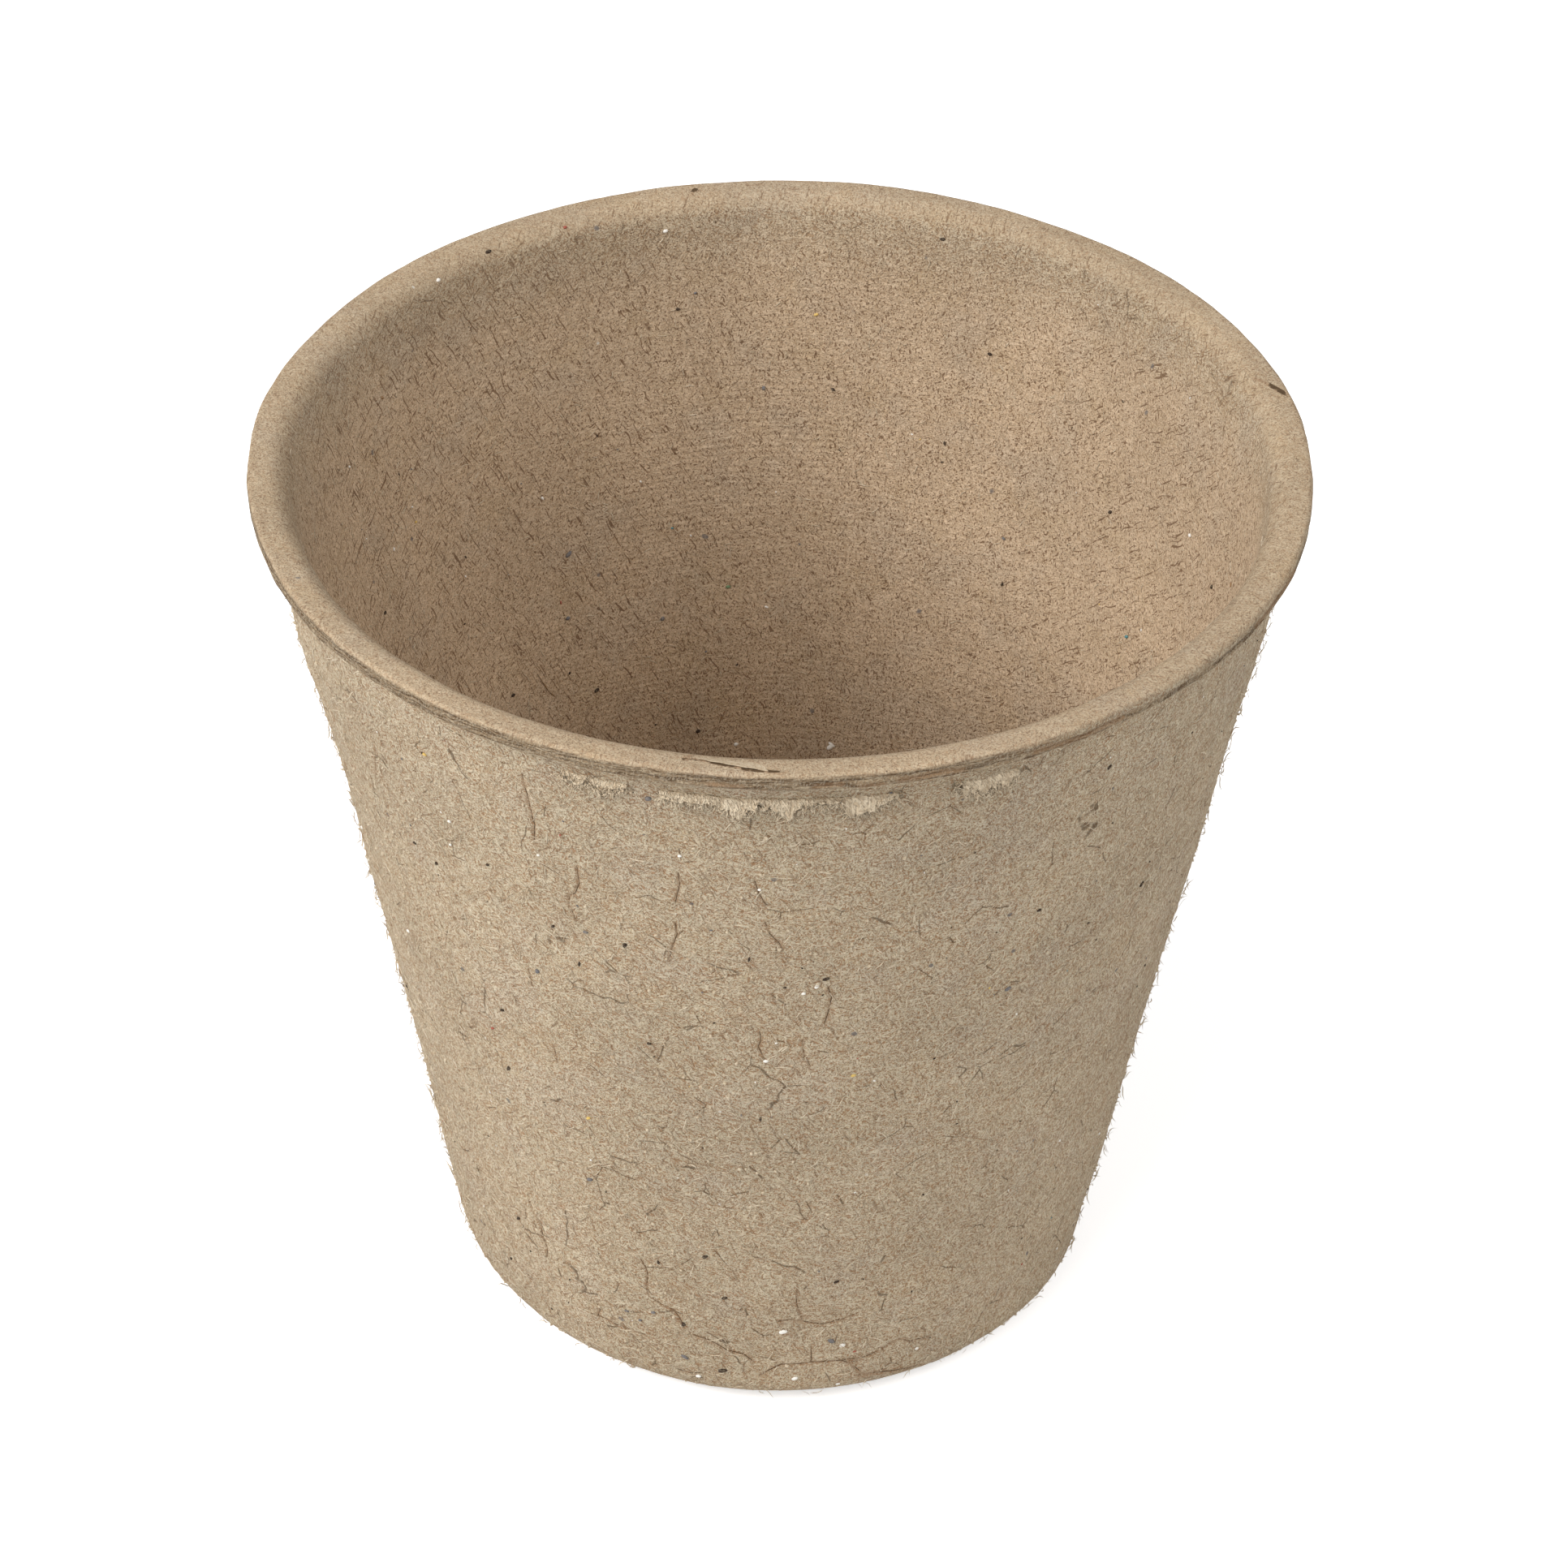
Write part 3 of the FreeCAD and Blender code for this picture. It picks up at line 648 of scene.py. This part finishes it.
def make_loose_pulp(name, plain, pale, brown, relief_height):
    """A frayed or loose pulp: plain and streaked, browner or paler by the tone kept on the piece."""
    material, tree, shader, place, bent = start_pulp(name, plain)
    tone = measure_of(tree, "tone")
    light = streaks(tree, bent, [(60, 0), (80, 60), (40, 120)], 1.6 * mm, 0.16 * mm, 0.52, 0.7)
    dark = streaks(tree, bent, [(70, 30), (50, 95)], 1.4 * mm, 0.18 * mm, 0.56, 0.72)
    colour = cover(tree, plain, ramp(tree, tone, 0.5, 0.0), brown)
    colour = cover(tree, colour, ramp(tree, tone, 0.5, 1.0), pale)
    colour = cover(tree, colour, light, pale, 0.5)
    colour = cover(tree, colour, dark, brown, 0.4)
    finish_pulp(tree, shader, colour, maths(tree, "SUBTRACT", light, dark), relief_height)
    return material


def in_box(place):
    """The place, brought inside the box of the pot."""
    return Vector([min(max(value, low), high) for value, low, high in zip(place, cad_low, cad_high)])


fibre_points = 5  # of each fibre, from end to end


def way_round(turn):
    """The direction round the pot at a turn from the front in degrees."""
    return Vector((math.cos(math.radians(turn)), math.sin(math.radians(turn)), 0))


def pick(piece):
    """Select this piece alone, and make it the active one."""
    bpy.ops.object.select_all(action="DESELECT")
    piece.select_set(True)
    bpy.context.view_layer.objects.active = piece


def lay_fibre(spot, way, length, curl, lifts):
    """The points of a fibre along the skin, with its heights over it at the start, middle and end."""
    points = []
    for step in range(fibre_points):
        share = step / (fibre_points - 1)
        found, normal, face, gap = skin.find_nearest(spot)
        away = 2 * share - 1
        rise = lifts[1] + ((lifts[0] if away < 0 else lifts[2]) - lifts[1]) * away * away
        points.append(in_box(found + normal * rise))
        way = (way - normal * way.dot(normal)).normalized()
        way.rotate(Quaternion(normal, random.gauss(0, curl)))
        spot = found + way * length / (fibre_points - 1)
    return points


tube_sides = 4  # of a curve's bevel at resolution 0


def make_fibres(name, fibres, material):
    """One mesh of many fibres, each (points, width, tone): a thin four-sided tube, pointed at both ends."""
    curve = bpy.data.curves.new(name, "CURVE")
    curve.dimensions = "3D"
    curve.bevel_depth = mm
    curve.bevel_resolution = 0
    for points, width, tone in fibres:
        spline = curve.splines.new("POLY")
        spline.points.add(len(points) - 1)
        for index, (point, place) in enumerate(zip(spline.points, points)):
            point.co = (*place, 1)
            point.radius = 0 if index in (0, len(points) - 1) else width / mm / 2
    piece = bpy.data.objects.new(name, curve)
    scene.collection.objects.link(piece)
    pick(piece)
    bpy.ops.object.convert(target="MESH")
    piece = bpy.context.object
    tones = [tone for points, width, tone in fibres]
    write_measure(piece, "tone", np.repeat(tones, tube_sides * fibre_points))
    bpy.ops.object.mode_set(mode="EDIT")
    bpy.ops.mesh.select_all(action="SELECT")
    bpy.ops.mesh.remove_doubles(threshold=0.1 * hair)
    bpy.ops.object.mode_set(mode="OBJECT")
    bpy.ops.object.shade_smooth()
    piece.data.materials.clear()
    piece.data.materials.append(material)
    return piece


torn_sink = {"left": 0.26, "middle": 0.05, "right": 0.23}  # of the upper edge in the skin, in mm
torn_relief = 0.08 * mm
torn_pulp = make_loose_pulp("frayed_pulp", torn_plain, torn_pale, torn_brown, torn_relief)
flap_thickness = 0.1 * mm
lower_lift, lift_curve, rough_rise, clump_rise = 0.44, 0.45, 0.22, 0.08
columns_per_degree, rows, strands_per_degree = 5, 9, 20
strand_lifts = [(0.05, 0.3), (0.1, 0.36), (0.02, 0.55)]  # at its start, middle and end, in mm
strand_lengths, strand_widths, strand_curl = (0.3, 1.1), (0.05, 0.11), 0.5
strand_tones = (0.3, 0.7, 0.8, 0.9, 1.0)
random.seed(11)
for side, (first, last) in torn_turns.items():
    node = f"torn_pulp_{side}"
    flap_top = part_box(node)[1].z
    ragged = np.array(torn_edges[side])
    columns = round((last - first) * columns_per_degree)
    bpy.ops.object.select_all(action="DESELECT")
    bpy.ops.mesh.primitive_grid_add(x_subdivisions=columns, y_subdivisions=rows, size=2)
    flap = bpy.context.object
    flap.name = f"frayed_{side}"
    for vertex in flap.data.vertices:
        across, down = (vertex.co.x + 1) / 2, (1 - vertex.co.y) / 2
        turn = first + (last - first) * across
        fray = noise(Vector((turn * 1.9, 3.0, 0))) * 0.5
        fray += noise(Vector((turn * 5.3, 7.0, 0))) * 0.3
        end_height = np.interp(turn, ragged[:, 0], ragged[:, 1]) * mm + fray * mm
        height = flap_top + (end_height - flap_top) * down
        sway = 0.7 * down * noise(Vector((turn * 2.2, 9.0, down)))
        found, normal, face, gap = skin.find_nearest(outer_spot(turn + sway, height, 0.5 * mm))
        rough = noise(Vector((turn * 3.1, down * 4.0, 1.5)))
        clump = noise(Vector((turn * 0.62, 5.0, 0)))
        clump += 0.5 * noise(Vector((turn * 1.7, 6.0, 0)))
        rise = lower_lift * down ** lift_curve - torn_sink[side]
        rise += (rough_rise * rough + clump_rise * clump) * down
        vertex.co = found + normal * rise * mm
    thicken(flap, flap_thickness, offset=0)
    tone = [0.6 + 0.45 * noise(vertex.co / mm * 1.3) for vertex in flap.data.vertices]
    write_measure(flap, "tone", np.array(tone))
    flap.data.materials.append(torn_pulp)
    bpy.ops.object.shade_smooth()
    fringe = []
    for strand in range(round((last - first) * strands_per_degree)):
        turn = random.uniform(first, last)
        end_height = np.interp(turn, ragged[:, 0], ragged[:, 1]) * mm
        root = outer_spot(turn, random.uniform(end_height, 0.7 * end_height + 0.3 * flap_top))
        dip = math.radians(random.gauss(-90, 38))
        way = way_round(turn) * math.cos(dip) + Vector((0, 0, math.sin(dip)))
        lifts = [random.uniform(*span) * mm for span in strand_lifts]
        points = lay_fibre(root, way, random.uniform(*strand_lengths) * mm, strand_curl, lifts)
        fringe.append((points, random.uniform(*strand_widths) * mm, random.choice(strand_tones)))
    strands = make_fibres(f"fringe_{side}", fringe, torn_pulp)
    pick(flap)
    strands.select_set(True)
    bpy.ops.object.join()
    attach(flap, "root")
    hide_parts(node)


# The sliver: on top of the lip, in front, the pressed skin has split along the rim and stands up a little
# along the split. It tapers to a point on the left and is one with the lip on the right.
sliver_low, sliver_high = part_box("lip_sliver")
sliver_first, sliver_last = -8.8, -0.4  # turns from the front, in degrees
inner_line, split_start, split_end = 37.9 * mm, 38.4 * mm, 39.5 * mm  # distances from the axis
tip_shift = 0.25 * mm  # how much farther out the inner line is at the pointed end
left_run, right_run = 0.1, 0.3  # the shares of its length along which it comes up and goes down
sunk = 0.03 * mm
split_rise = sliver_high.z - sliver_low.z - 0.06 * mm
skin_thickness = 0.05 * mm
skin_relief = 0.02 * mm
skin_plain, skin_pale, skin_brown = (0.50, 0.395, 0.27), (0.60, 0.49, 0.355), (0.36, 0.245, 0.14)
bpy.ops.object.select_all(action="DESELECT")
bpy.ops.mesh.primitive_grid_add(x_subdivisions=64, y_subdivisions=9, size=2)
sliver = bpy.context.object
sliver.name = "split_skin"
for vertex in sliver.data.vertices:
    across, outward_share = (vertex.co.x + 1) / 2, (1 - vertex.co.y) / 2
    turn = sliver_first + (sliver_last - sliver_first) * across
    split_line = split_start + (split_end - split_start) * across ** 0.85
    split_line += noise(Vector((across * 7, 2.0, 0))) * 0.09 * mm
    start_line = inner_line + tip_shift * (1 - across)
    radius = start_line + (split_line - start_line) * outward_share
    above = lip_spot(turn, radius / mm) + Vector((0, 0, 2 * mm))
    found, normal, face, gap = skin.ray_cast(above, Vector((0, 0, -1)))
    ends = min(1.0, across / left_run, (1 - across) / right_run)
    rise = -sunk + (split_rise * 0.8 + sunk) * outward_share ** 1.5 * ends
    vertex.co = in_box(found + Vector((0, 0, rise)))
thicken(sliver, skin_thickness, offset=-1)
write_measure(sliver, "tone", np.full(len(sliver.data.vertices), 0.55))
bpy.ops.object.shade_smooth()
split_pulp = make_loose_pulp("split_skin_pulp", skin_plain, skin_pale, skin_brown, skin_relief)
sliver.data.materials.append(split_pulp)
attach(sliver, "root")
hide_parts("lip_sliver")


# The nap: single fibres of the pulp that lie on its skin or stand off it, pale wood fibre and brown
# fibre. They hold by being matted in at one end.
def random_root(lowest, highest, inner):
    """A place on the outer or the inner wall, evenly spread, with its turn."""
    while True:
        turn, height = random.uniform(-180, 180), random.uniform(lowest, highest)
        if random.uniform(0, top_radius) < wall_radius(height):
            return turn, outer_spot(turn, height, -inner_shift if inner else 0.3 * mm)


nap_curl, standing_lifts = 0.25, [(0.1, 0.32), (0.2, 0.7)]  # in the middle and at the end, in mm


def grow_nap(count, lowest, highest, lengths, widths, tones, standing, inner):
    """Fibres in random places and directions; a share of them stands off the skin."""
    nap = []
    for strand in range(count):
        turn, root = random_root(lowest, highest, inner)
        tilt = random.uniform(0, 2 * math.pi)
        way = way_round(turn) * math.cos(tilt) + Vector((0, 0, math.sin(tilt)))
        width = random.uniform(*widths)
        lifts = [0, 0.25 * width, 0]
        if random.random() < standing:
            lifts = [0] + [random.uniform(*span) * mm for span in standing_lifts]
        points = lay_fibre(root, way, random.uniform(*lengths), nap_curl, lifts)
        nap.append((points, width, random.uniform(*tones)))
    return nap


nap_plain, nap_pale, nap_brown = (0.505, 0.408, 0.283), (0.67, 0.58, 0.44), (0.29, 0.16, 0.078)
nap_relief = 0.01 * mm
nap_pulp = make_loose_pulp("nap_fibre", nap_plain, nap_pale, nap_brown, nap_relief)
# name, number, lowest and highest root, lengths, widths, tones, the share that stands, whether inside
naps = [
    ("pale_nap", 7600, 0.3 * mm, 72.0 * mm,
     (0.5 * mm, 1.8 * mm), (0.045 * mm, 0.09 * mm), (0.55, 1.0), 0.36, False),
    ("brown_nap", 7600, 0.3 * mm, 72.0 * mm,
     (0.4 * mm, 1.6 * mm), (0.03 * mm, 0.065 * mm), (0.05, 0.45), 0.2, False),
    ("inner_nap", 4600, 3.0 * mm, 72.5 * mm,
     (0.3 * mm, 1.2 * mm), (0.05 * mm, 0.09 * mm), (0.15, 0.9), 0.04, True),
]
random.seed(23)
for name, *growth in naps:
    nap = make_fibres(name, grow_nap(*growth), nap_pulp)
    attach(nap, "root")


# Knots of matted fibre: small lumps of the pulp itself, all over its outer skin. They are one lump,
# turned and scaled, with its lower half sunk into the skin.
def take_lump(unevenness, scale, shift):
    """Make the active shape uneven, and take its points and its faces away as arrays."""
    lump = bpy.context.object
    for vertex in lump.data.vertices:
        vertex.co *= 1 + unevenness * noise(vertex.co * scale + Vector(shift))
    points = np.array([vertex.co for vertex in lump.data.vertices])
    faces = np.array([face.vertices for face in lump.data.polygons])
    bpy.data.objects.remove(lump)
    return points, faces


def make_lumps(name, points, faces, material):
    """One smooth piece of many lumps, each with its own points and faces."""
    mesh = bpy.data.meshes.new(name)
    mesh.from_pydata(np.concatenate(points).tolist(), [], np.concatenate(faces).tolist())
    mesh.materials.append(material)
    piece = bpy.data.objects.new(name, mesh)
    scene.collection.objects.link(piece)
    pick(piece)
    bpy.ops.object.shade_smooth()
    return piece


bpy.ops.object.select_all(action="DESELECT")
bpy.ops.mesh.primitive_ico_sphere_add(subdivisions=1, radius=0.5)
lump_points, lump_faces = take_lump(unevenness=0.5, scale=2.6, shift=(2, 5, 3))
knot_count = 4200
random.seed(41)
knot_points, knot_faces = [], []
for knot in range(knot_count):
    turn, root = random_root(0.5 * mm, 71.5 * mm, False)
    found, normal, face, gap = skin.find_nearest(root)
    any_way = Vector([random.gauss(0, 1) for axis in range(3)])
    along = normal.cross(any_way).normalized()
    long = random.uniform(0.16, 0.5) * mm
    wide = long * random.uniform(0.4, 0.8)
    tall = random.uniform(0.14, 0.4) * mm
    lie = np.array([along * long, normal.cross(along) * wide, normal * tall])
    knot_faces.append(lump_faces + knot * len(lump_points))
    knot_points.append(lump_points @ lie + np.array(found))
knots = make_lumps("fibre_knots", knot_points, knot_faces, nap_pulp)
knot_tones = [random.uniform(0.4, 0.75) for knot in knot_points]
write_measure(knots, "tone", np.repeat(knot_tones, len(lump_points)))
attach(knots, "root")


# Longer single fibres that show one by one in the wall, of pale wood and brown bark. They are matted
# into the pulp and lie flat on its skin.
def trace_fibre(path, width, tone, inner=False):
    """A fibre of a width in mm along a path of (turn, height in mm) on the outer or the inner wall."""
    turn_at, height_at = zip(*path)
    points = []
    for share in np.linspace(0, len(path) - 1, fibre_points):
        turn = np.interp(share, range(len(path)), turn_at)
        height = np.interp(share, range(len(path)), height_at) * mm
        found, normal, face, gap = skin.find_nearest(outer_spot(turn, height, -inner_shift if inner else 0))
        points.append(found + normal * 0.35 * width * mm)
    return points, width * mm, tone


# each a path, a width, a tone, and whether it lies inside
long_fibres = [
    ([(24.1, 64.8), (26.0, 64.4), (26.8, 63.8)], 0.1, 0.1),
    ([(26.2, 32.5), (27.4, 29.9), (34.0, 27.6)], 0.09, 0.15),
    ([(0.2, 42.7), (1.0, 43.3), (1.7, 43.5)], 0.12, 1.0),
    ([(4.8, 61.7), (5.8, 61.9), (6.8, 61.8)], 0.1, 0.95),
    ([(-9.9, 49.3), (-8.7, 48.9), (-7.7, 49.1)], 0.09, 0.05),
    ([(0.6, 66.8), (1.2, 67.1)], 0.12, 0.0),
    ([(-2.8, 63.4), (-1.9, 63.5), (-1.1, 64.5)], 0.09, 0.0),
    ([(-138.9, 36.7), (-140.6, 34.7), (-141.9, 33.7)], 0.1, 0.0, True),
    ([(-171.4, 29.4), (-169.8, 27.7)], 0.1, 0.0, True),
    ([(84.0, 41.0), (86.5, 42.2), (89.0, 41.6)], 0.1, 0.95),
    ([(131.0, 58.5), (132.4, 56.0), (135.0, 54.9)], 0.09, 0.05),
    ([(-76.0, 29.0), (-79.0, 27.8), (-82.5, 28.6)], 0.1, 0.05),
    ([(-127.0, 48.0), (-129.5, 49.6)], 0.11, 1.0),
    ([(176.0, 21.5), (179.0, 22.9), (182.0, 22.2)], 0.09, 0.1),
]
stray = make_fibres("stray_fibres", [trace_fibre(*fibre) for fibre in long_fibres], nap_pulp)
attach(stray, "root")


# Flecks in the waste-paper pulp: chips of bark, bits of bleached paper, grey print and a few coloured
# scraps. One chip shape is laid flat into the skin again and again, and half of it is sunk in.
bpy.ops.object.select_all(action="DESELECT")
bpy.ops.mesh.primitive_uv_sphere_add(segments=7, ring_count=4, radius=0.5)
bpy.ops.object.mode_set(mode="EDIT")
bpy.ops.mesh.select_all(action="SELECT")
bpy.ops.transform.resize(value=(1, 1, 0.7))
bpy.ops.mesh.quads_convert_to_tris()
bpy.ops.object.mode_set(mode="OBJECT")
chip_points, chip_faces = take_lump(unevenness=0.55, scale=2.4, shift=(4, 1, 7))
chip_growth = 1.5  # makes up for what the noise takes off the chip
chip_tallest = 0.24  # in mm

bark, grey_print, bleached = (0.05, 0.034, 0.024), (0.17, 0.16, 0.16), (0.86, 0.83, 0.77)
red, teal, green, yellow = (0.36, 0.10, 0.07), (0.10, 0.25, 0.27), (0.16, 0.24, 0.13), (0.66, 0.46, 0.14)
russet = (0.30, 0.17, 0.08)
# where each fleck lies, (turn, height), then its length, its width, both in mm, and its dip in degrees
outer_flecks = {
    bark: [
        (-10.7, 18.0, 0.4, 0.25, 40), (-18.4, 16.3, 0.3, 0.2, 80), (10.1, 15.1, 0.34, 0.2, 20),
        (-40.0, 33.5, 0.4, 0.22, 60), (-18.4, 52.7, 0.36, 0.24, 70), (52.7, 49.2, 0.4, 0.2, 30),
        (33.2, 53.4, 0.3, 0.2, 0), (39.6, 66.2, 0.34, 0.2, 50), (-39.0, 40.2, 0.3, 0.18, 20),
        (-25.0, 49.2, 0.42, 0.14, 80), (6.1, 50.7, 0.4, 0.22, 15), (-45.9, 53.3, 0.3, 0.2, 60),
        (-36.1, 56.8, 0.28, 0.16, 30), (-49.8, 53.9, 0.3, 0.18, 0), (-46.2, 14.2, 0.36, 0.2, 45),
        (-51.6, 7.6, 0.34, 0.2, 20), (-8.8, 4.0, 0.55, 0.3, 10), (-7.9, 13.1, 0.36, 0.2, 20),
        (-27.9, 52.6, 0.3, 0.16, 50), (-16.5, 42.2, 0.26, 0.2, 0), (-15.2, 9.1, 0.6, 0.26, 60),
        (1.1, 49.9, 0.2, 0.14, 0), (-3.2, 52.9, 0.4, 0.12, 80), (-1.9, 35.0, 0.4, 0.12, 85),
    ],
    grey_print: [
        (-13.9, 69.0, 0.38, 0.3, 30), (30.6, 45.7, 0.42, 0.26, 10), (-31.6, 46.6, 0.34, 0.26, 70),
        (-25.3, 9.1, 0.3, 0.16, 0), (-20.3, 9.9, 0.3, 0.2, 20), (-22.9, 8.5, 0.22, 0.2, 0),
        (-15.4, 5.1, 0.5, 0.26, -40), (9.9, 7.7, 0.5, 0.3, -50), (-23.4, 53.1, 0.3, 0.2, 0),
        (12.0, 70.1, 0.3, 0.2, 40), (-28.6, 24.0, 0.4, 0.24, 20),
    ],
    bleached: [
        (-1.2, 41.7, 0.3, 0.22, 0), (3.4, 49.2, 0.24, 0.2, 0), (-41.2, 59.5, 0.26, 0.2, 0),
        (-42.0, 56.8, 0.2, 0.16, 0), (-58.7, 41.1, 0.3, 0.2, 0), (-13.2, 2.9, 0.34, 0.26, 0),
        (11.9, 7.0, 0.34, 0.3, 0), (11.7, 2.1, 0.26, 0.2, 0), (-10.8, 63.5, 0.24, 0.2, 0),
        (-28.3, 60.1, 0.2, 0.16, 0), (-1.9, 60.6, 0.2, 0.18, 0), (1.7, 9.2, 0.5, 0.34, 10),
        (3.9, 3.4, 0.4, 0.26, 20), (25.9, 4.6, 0.24, 0.2, 0), (5.0, 49.9, 0.3, 0.22, 50),
    ],
    red: [
        (-41.6, 37.4, 0.3, 0.16, 30), (14.2, 6.0, 0.2, 0.14, 0), (-24.9, 63.1, 0.2, 0.12, 60),
        (104.0, 33.0, 0.3, 0.16, 20),
    ],
    yellow: [
        (-27.0, 31.6, 0.34, 0.2, 40), (10.3, 39.7, 0.3, 0.2, 10), (-42.9, 65.7, 0.3, 0.2, 0),
        (-131.0, 57.0, 0.3, 0.2, 0),
    ],
    teal: [(141.0, 44.0, 0.3, 0.18, 60)],
}
inner_flecks = {
    bark: [
        (159.7, 71.3, 0.34, 0.2, 10), (128.4, 54.4, 0.34, 0.2, 40), (151.7, 62.7, 0.3, 0.2, 0),
        (100.7, 57.4, 0.3, 0.2, 70), (-149.4, 33.0, 0.36, 0.22, 30), (-133.8, 35.8, 0.3, 0.2, 0),
        (-166.3, 27.3, 0.3, 0.22, 20), (-141.5, 73.3, 0.4, 0.22, 0),
    ],
    grey_print: [
        (-147.2, 45.7, 0.5, 0.26, 30), (-145.8, 40.2, 0.3, 0.24, 10), (-161.4, 37.9, 0.3, 0.24, 60),
    ],
    bleached: [
        (-165.1, 71.2, 0.3, 0.22, 0), (-133.3, 72.8, 0.3, 0.22, 0), (-172.7, 25.8, 0.3, 0.24, 0),
        (171.2, 25.7, 0.55, 0.3, 45), (170.9, 25.9, 0.5, 0.2, -40), (110.5, 58.3, 0.3, 0.22, 0),
    ],
    red: [(-152.3, 73.2, 0.24, 0.18, 0)],
    teal: [(119.4, 45.9, 0.34, 0.2, 30)],
    green: [(-172.0, 40.0, 0.3, 0.2, 0)],
    yellow: [(175.6, 63.6, 0.3, 0.18, 20)],
}
chips = [(*mark, tint, False) for tint, marks in outer_flecks.items() for mark in marks]
chips += [(*mark, tint, True) for tint, marks in inner_flecks.items() for mark in marks]
# and small ones strewn at random, some of them larger, on the sides and the back, where few were placed
strewn_count, strewn_behind, strewn_inside = 620, 0.3, 0.35
tints = [bark] * 9 + [grey_print] * 4 + [bleached] * 6 + [red, teal, yellow, russet, russet]
random.seed(31)
for scrap in range(strewn_count):
    behind = random.random() < strewn_behind
    turn = random.uniform(70, 290) if behind else random.uniform(-180, 180)
    size = random.uniform(0.14, 0.3) if behind else random.uniform(0.09, 0.18)
    mark = (turn, random.uniform(1.5, 71.5), size, size * random.uniform(0.4, 0.8), random.uniform(-90, 90))
    chips.append((*mark, random.choice(tints), random.random() < strewn_inside))

fleck_points, fleck_faces, fleck_tints = [], [], []
for turn, height, long, wide, dip, tint, inner in chips:
    found, normal, face, gap = skin.find_nearest(outer_spot(turn, height * mm, -inner_shift if inner else 0))
    along = way_round(turn)
    along.rotate(Quaternion(normal, math.radians(dip)))
    along = (along - normal * along.dot(normal)).normalized()
    sideways = normal.cross(along)
    tall = min(wide, chip_tallest)
    lie = np.array([along * long * mm, sideways * wide * mm, normal * tall * mm]) * chip_growth
    fleck_faces.append(chip_faces + len(fleck_points) * len(chip_points))
    fleck_points.append(chip_points @ lie + np.array(found + normal * 0.02 * mm))
    fleck_tints += [tint] * len(chip_points)
scrap, tree, shader, place, bent = start_pulp("fleck_scrap", bark)
fade = clouds(tree, bent, 5200.0, 1.0, 0.45, 0.75, 0.0, 0.25)
tint = put(tree, "Attribute", attribute_name="tint").outputs["Color"]
tinted = cover(tree, tint, fade, outer_plain)
tree.links.new(tinted.outputs[0], shader.inputs["Base Color"])
flecks = make_lumps("pulp_flecks", fleck_points, fleck_faces, scrap)
tint_layer = flecks.data.attributes.new("tint", "FLOAT_COLOR", "POINT")
tint_layer.data.foreach_set("color", np.array([(*tint, 1) for tint in fleck_tints], np.float32).ravel())
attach(flecks, "root")
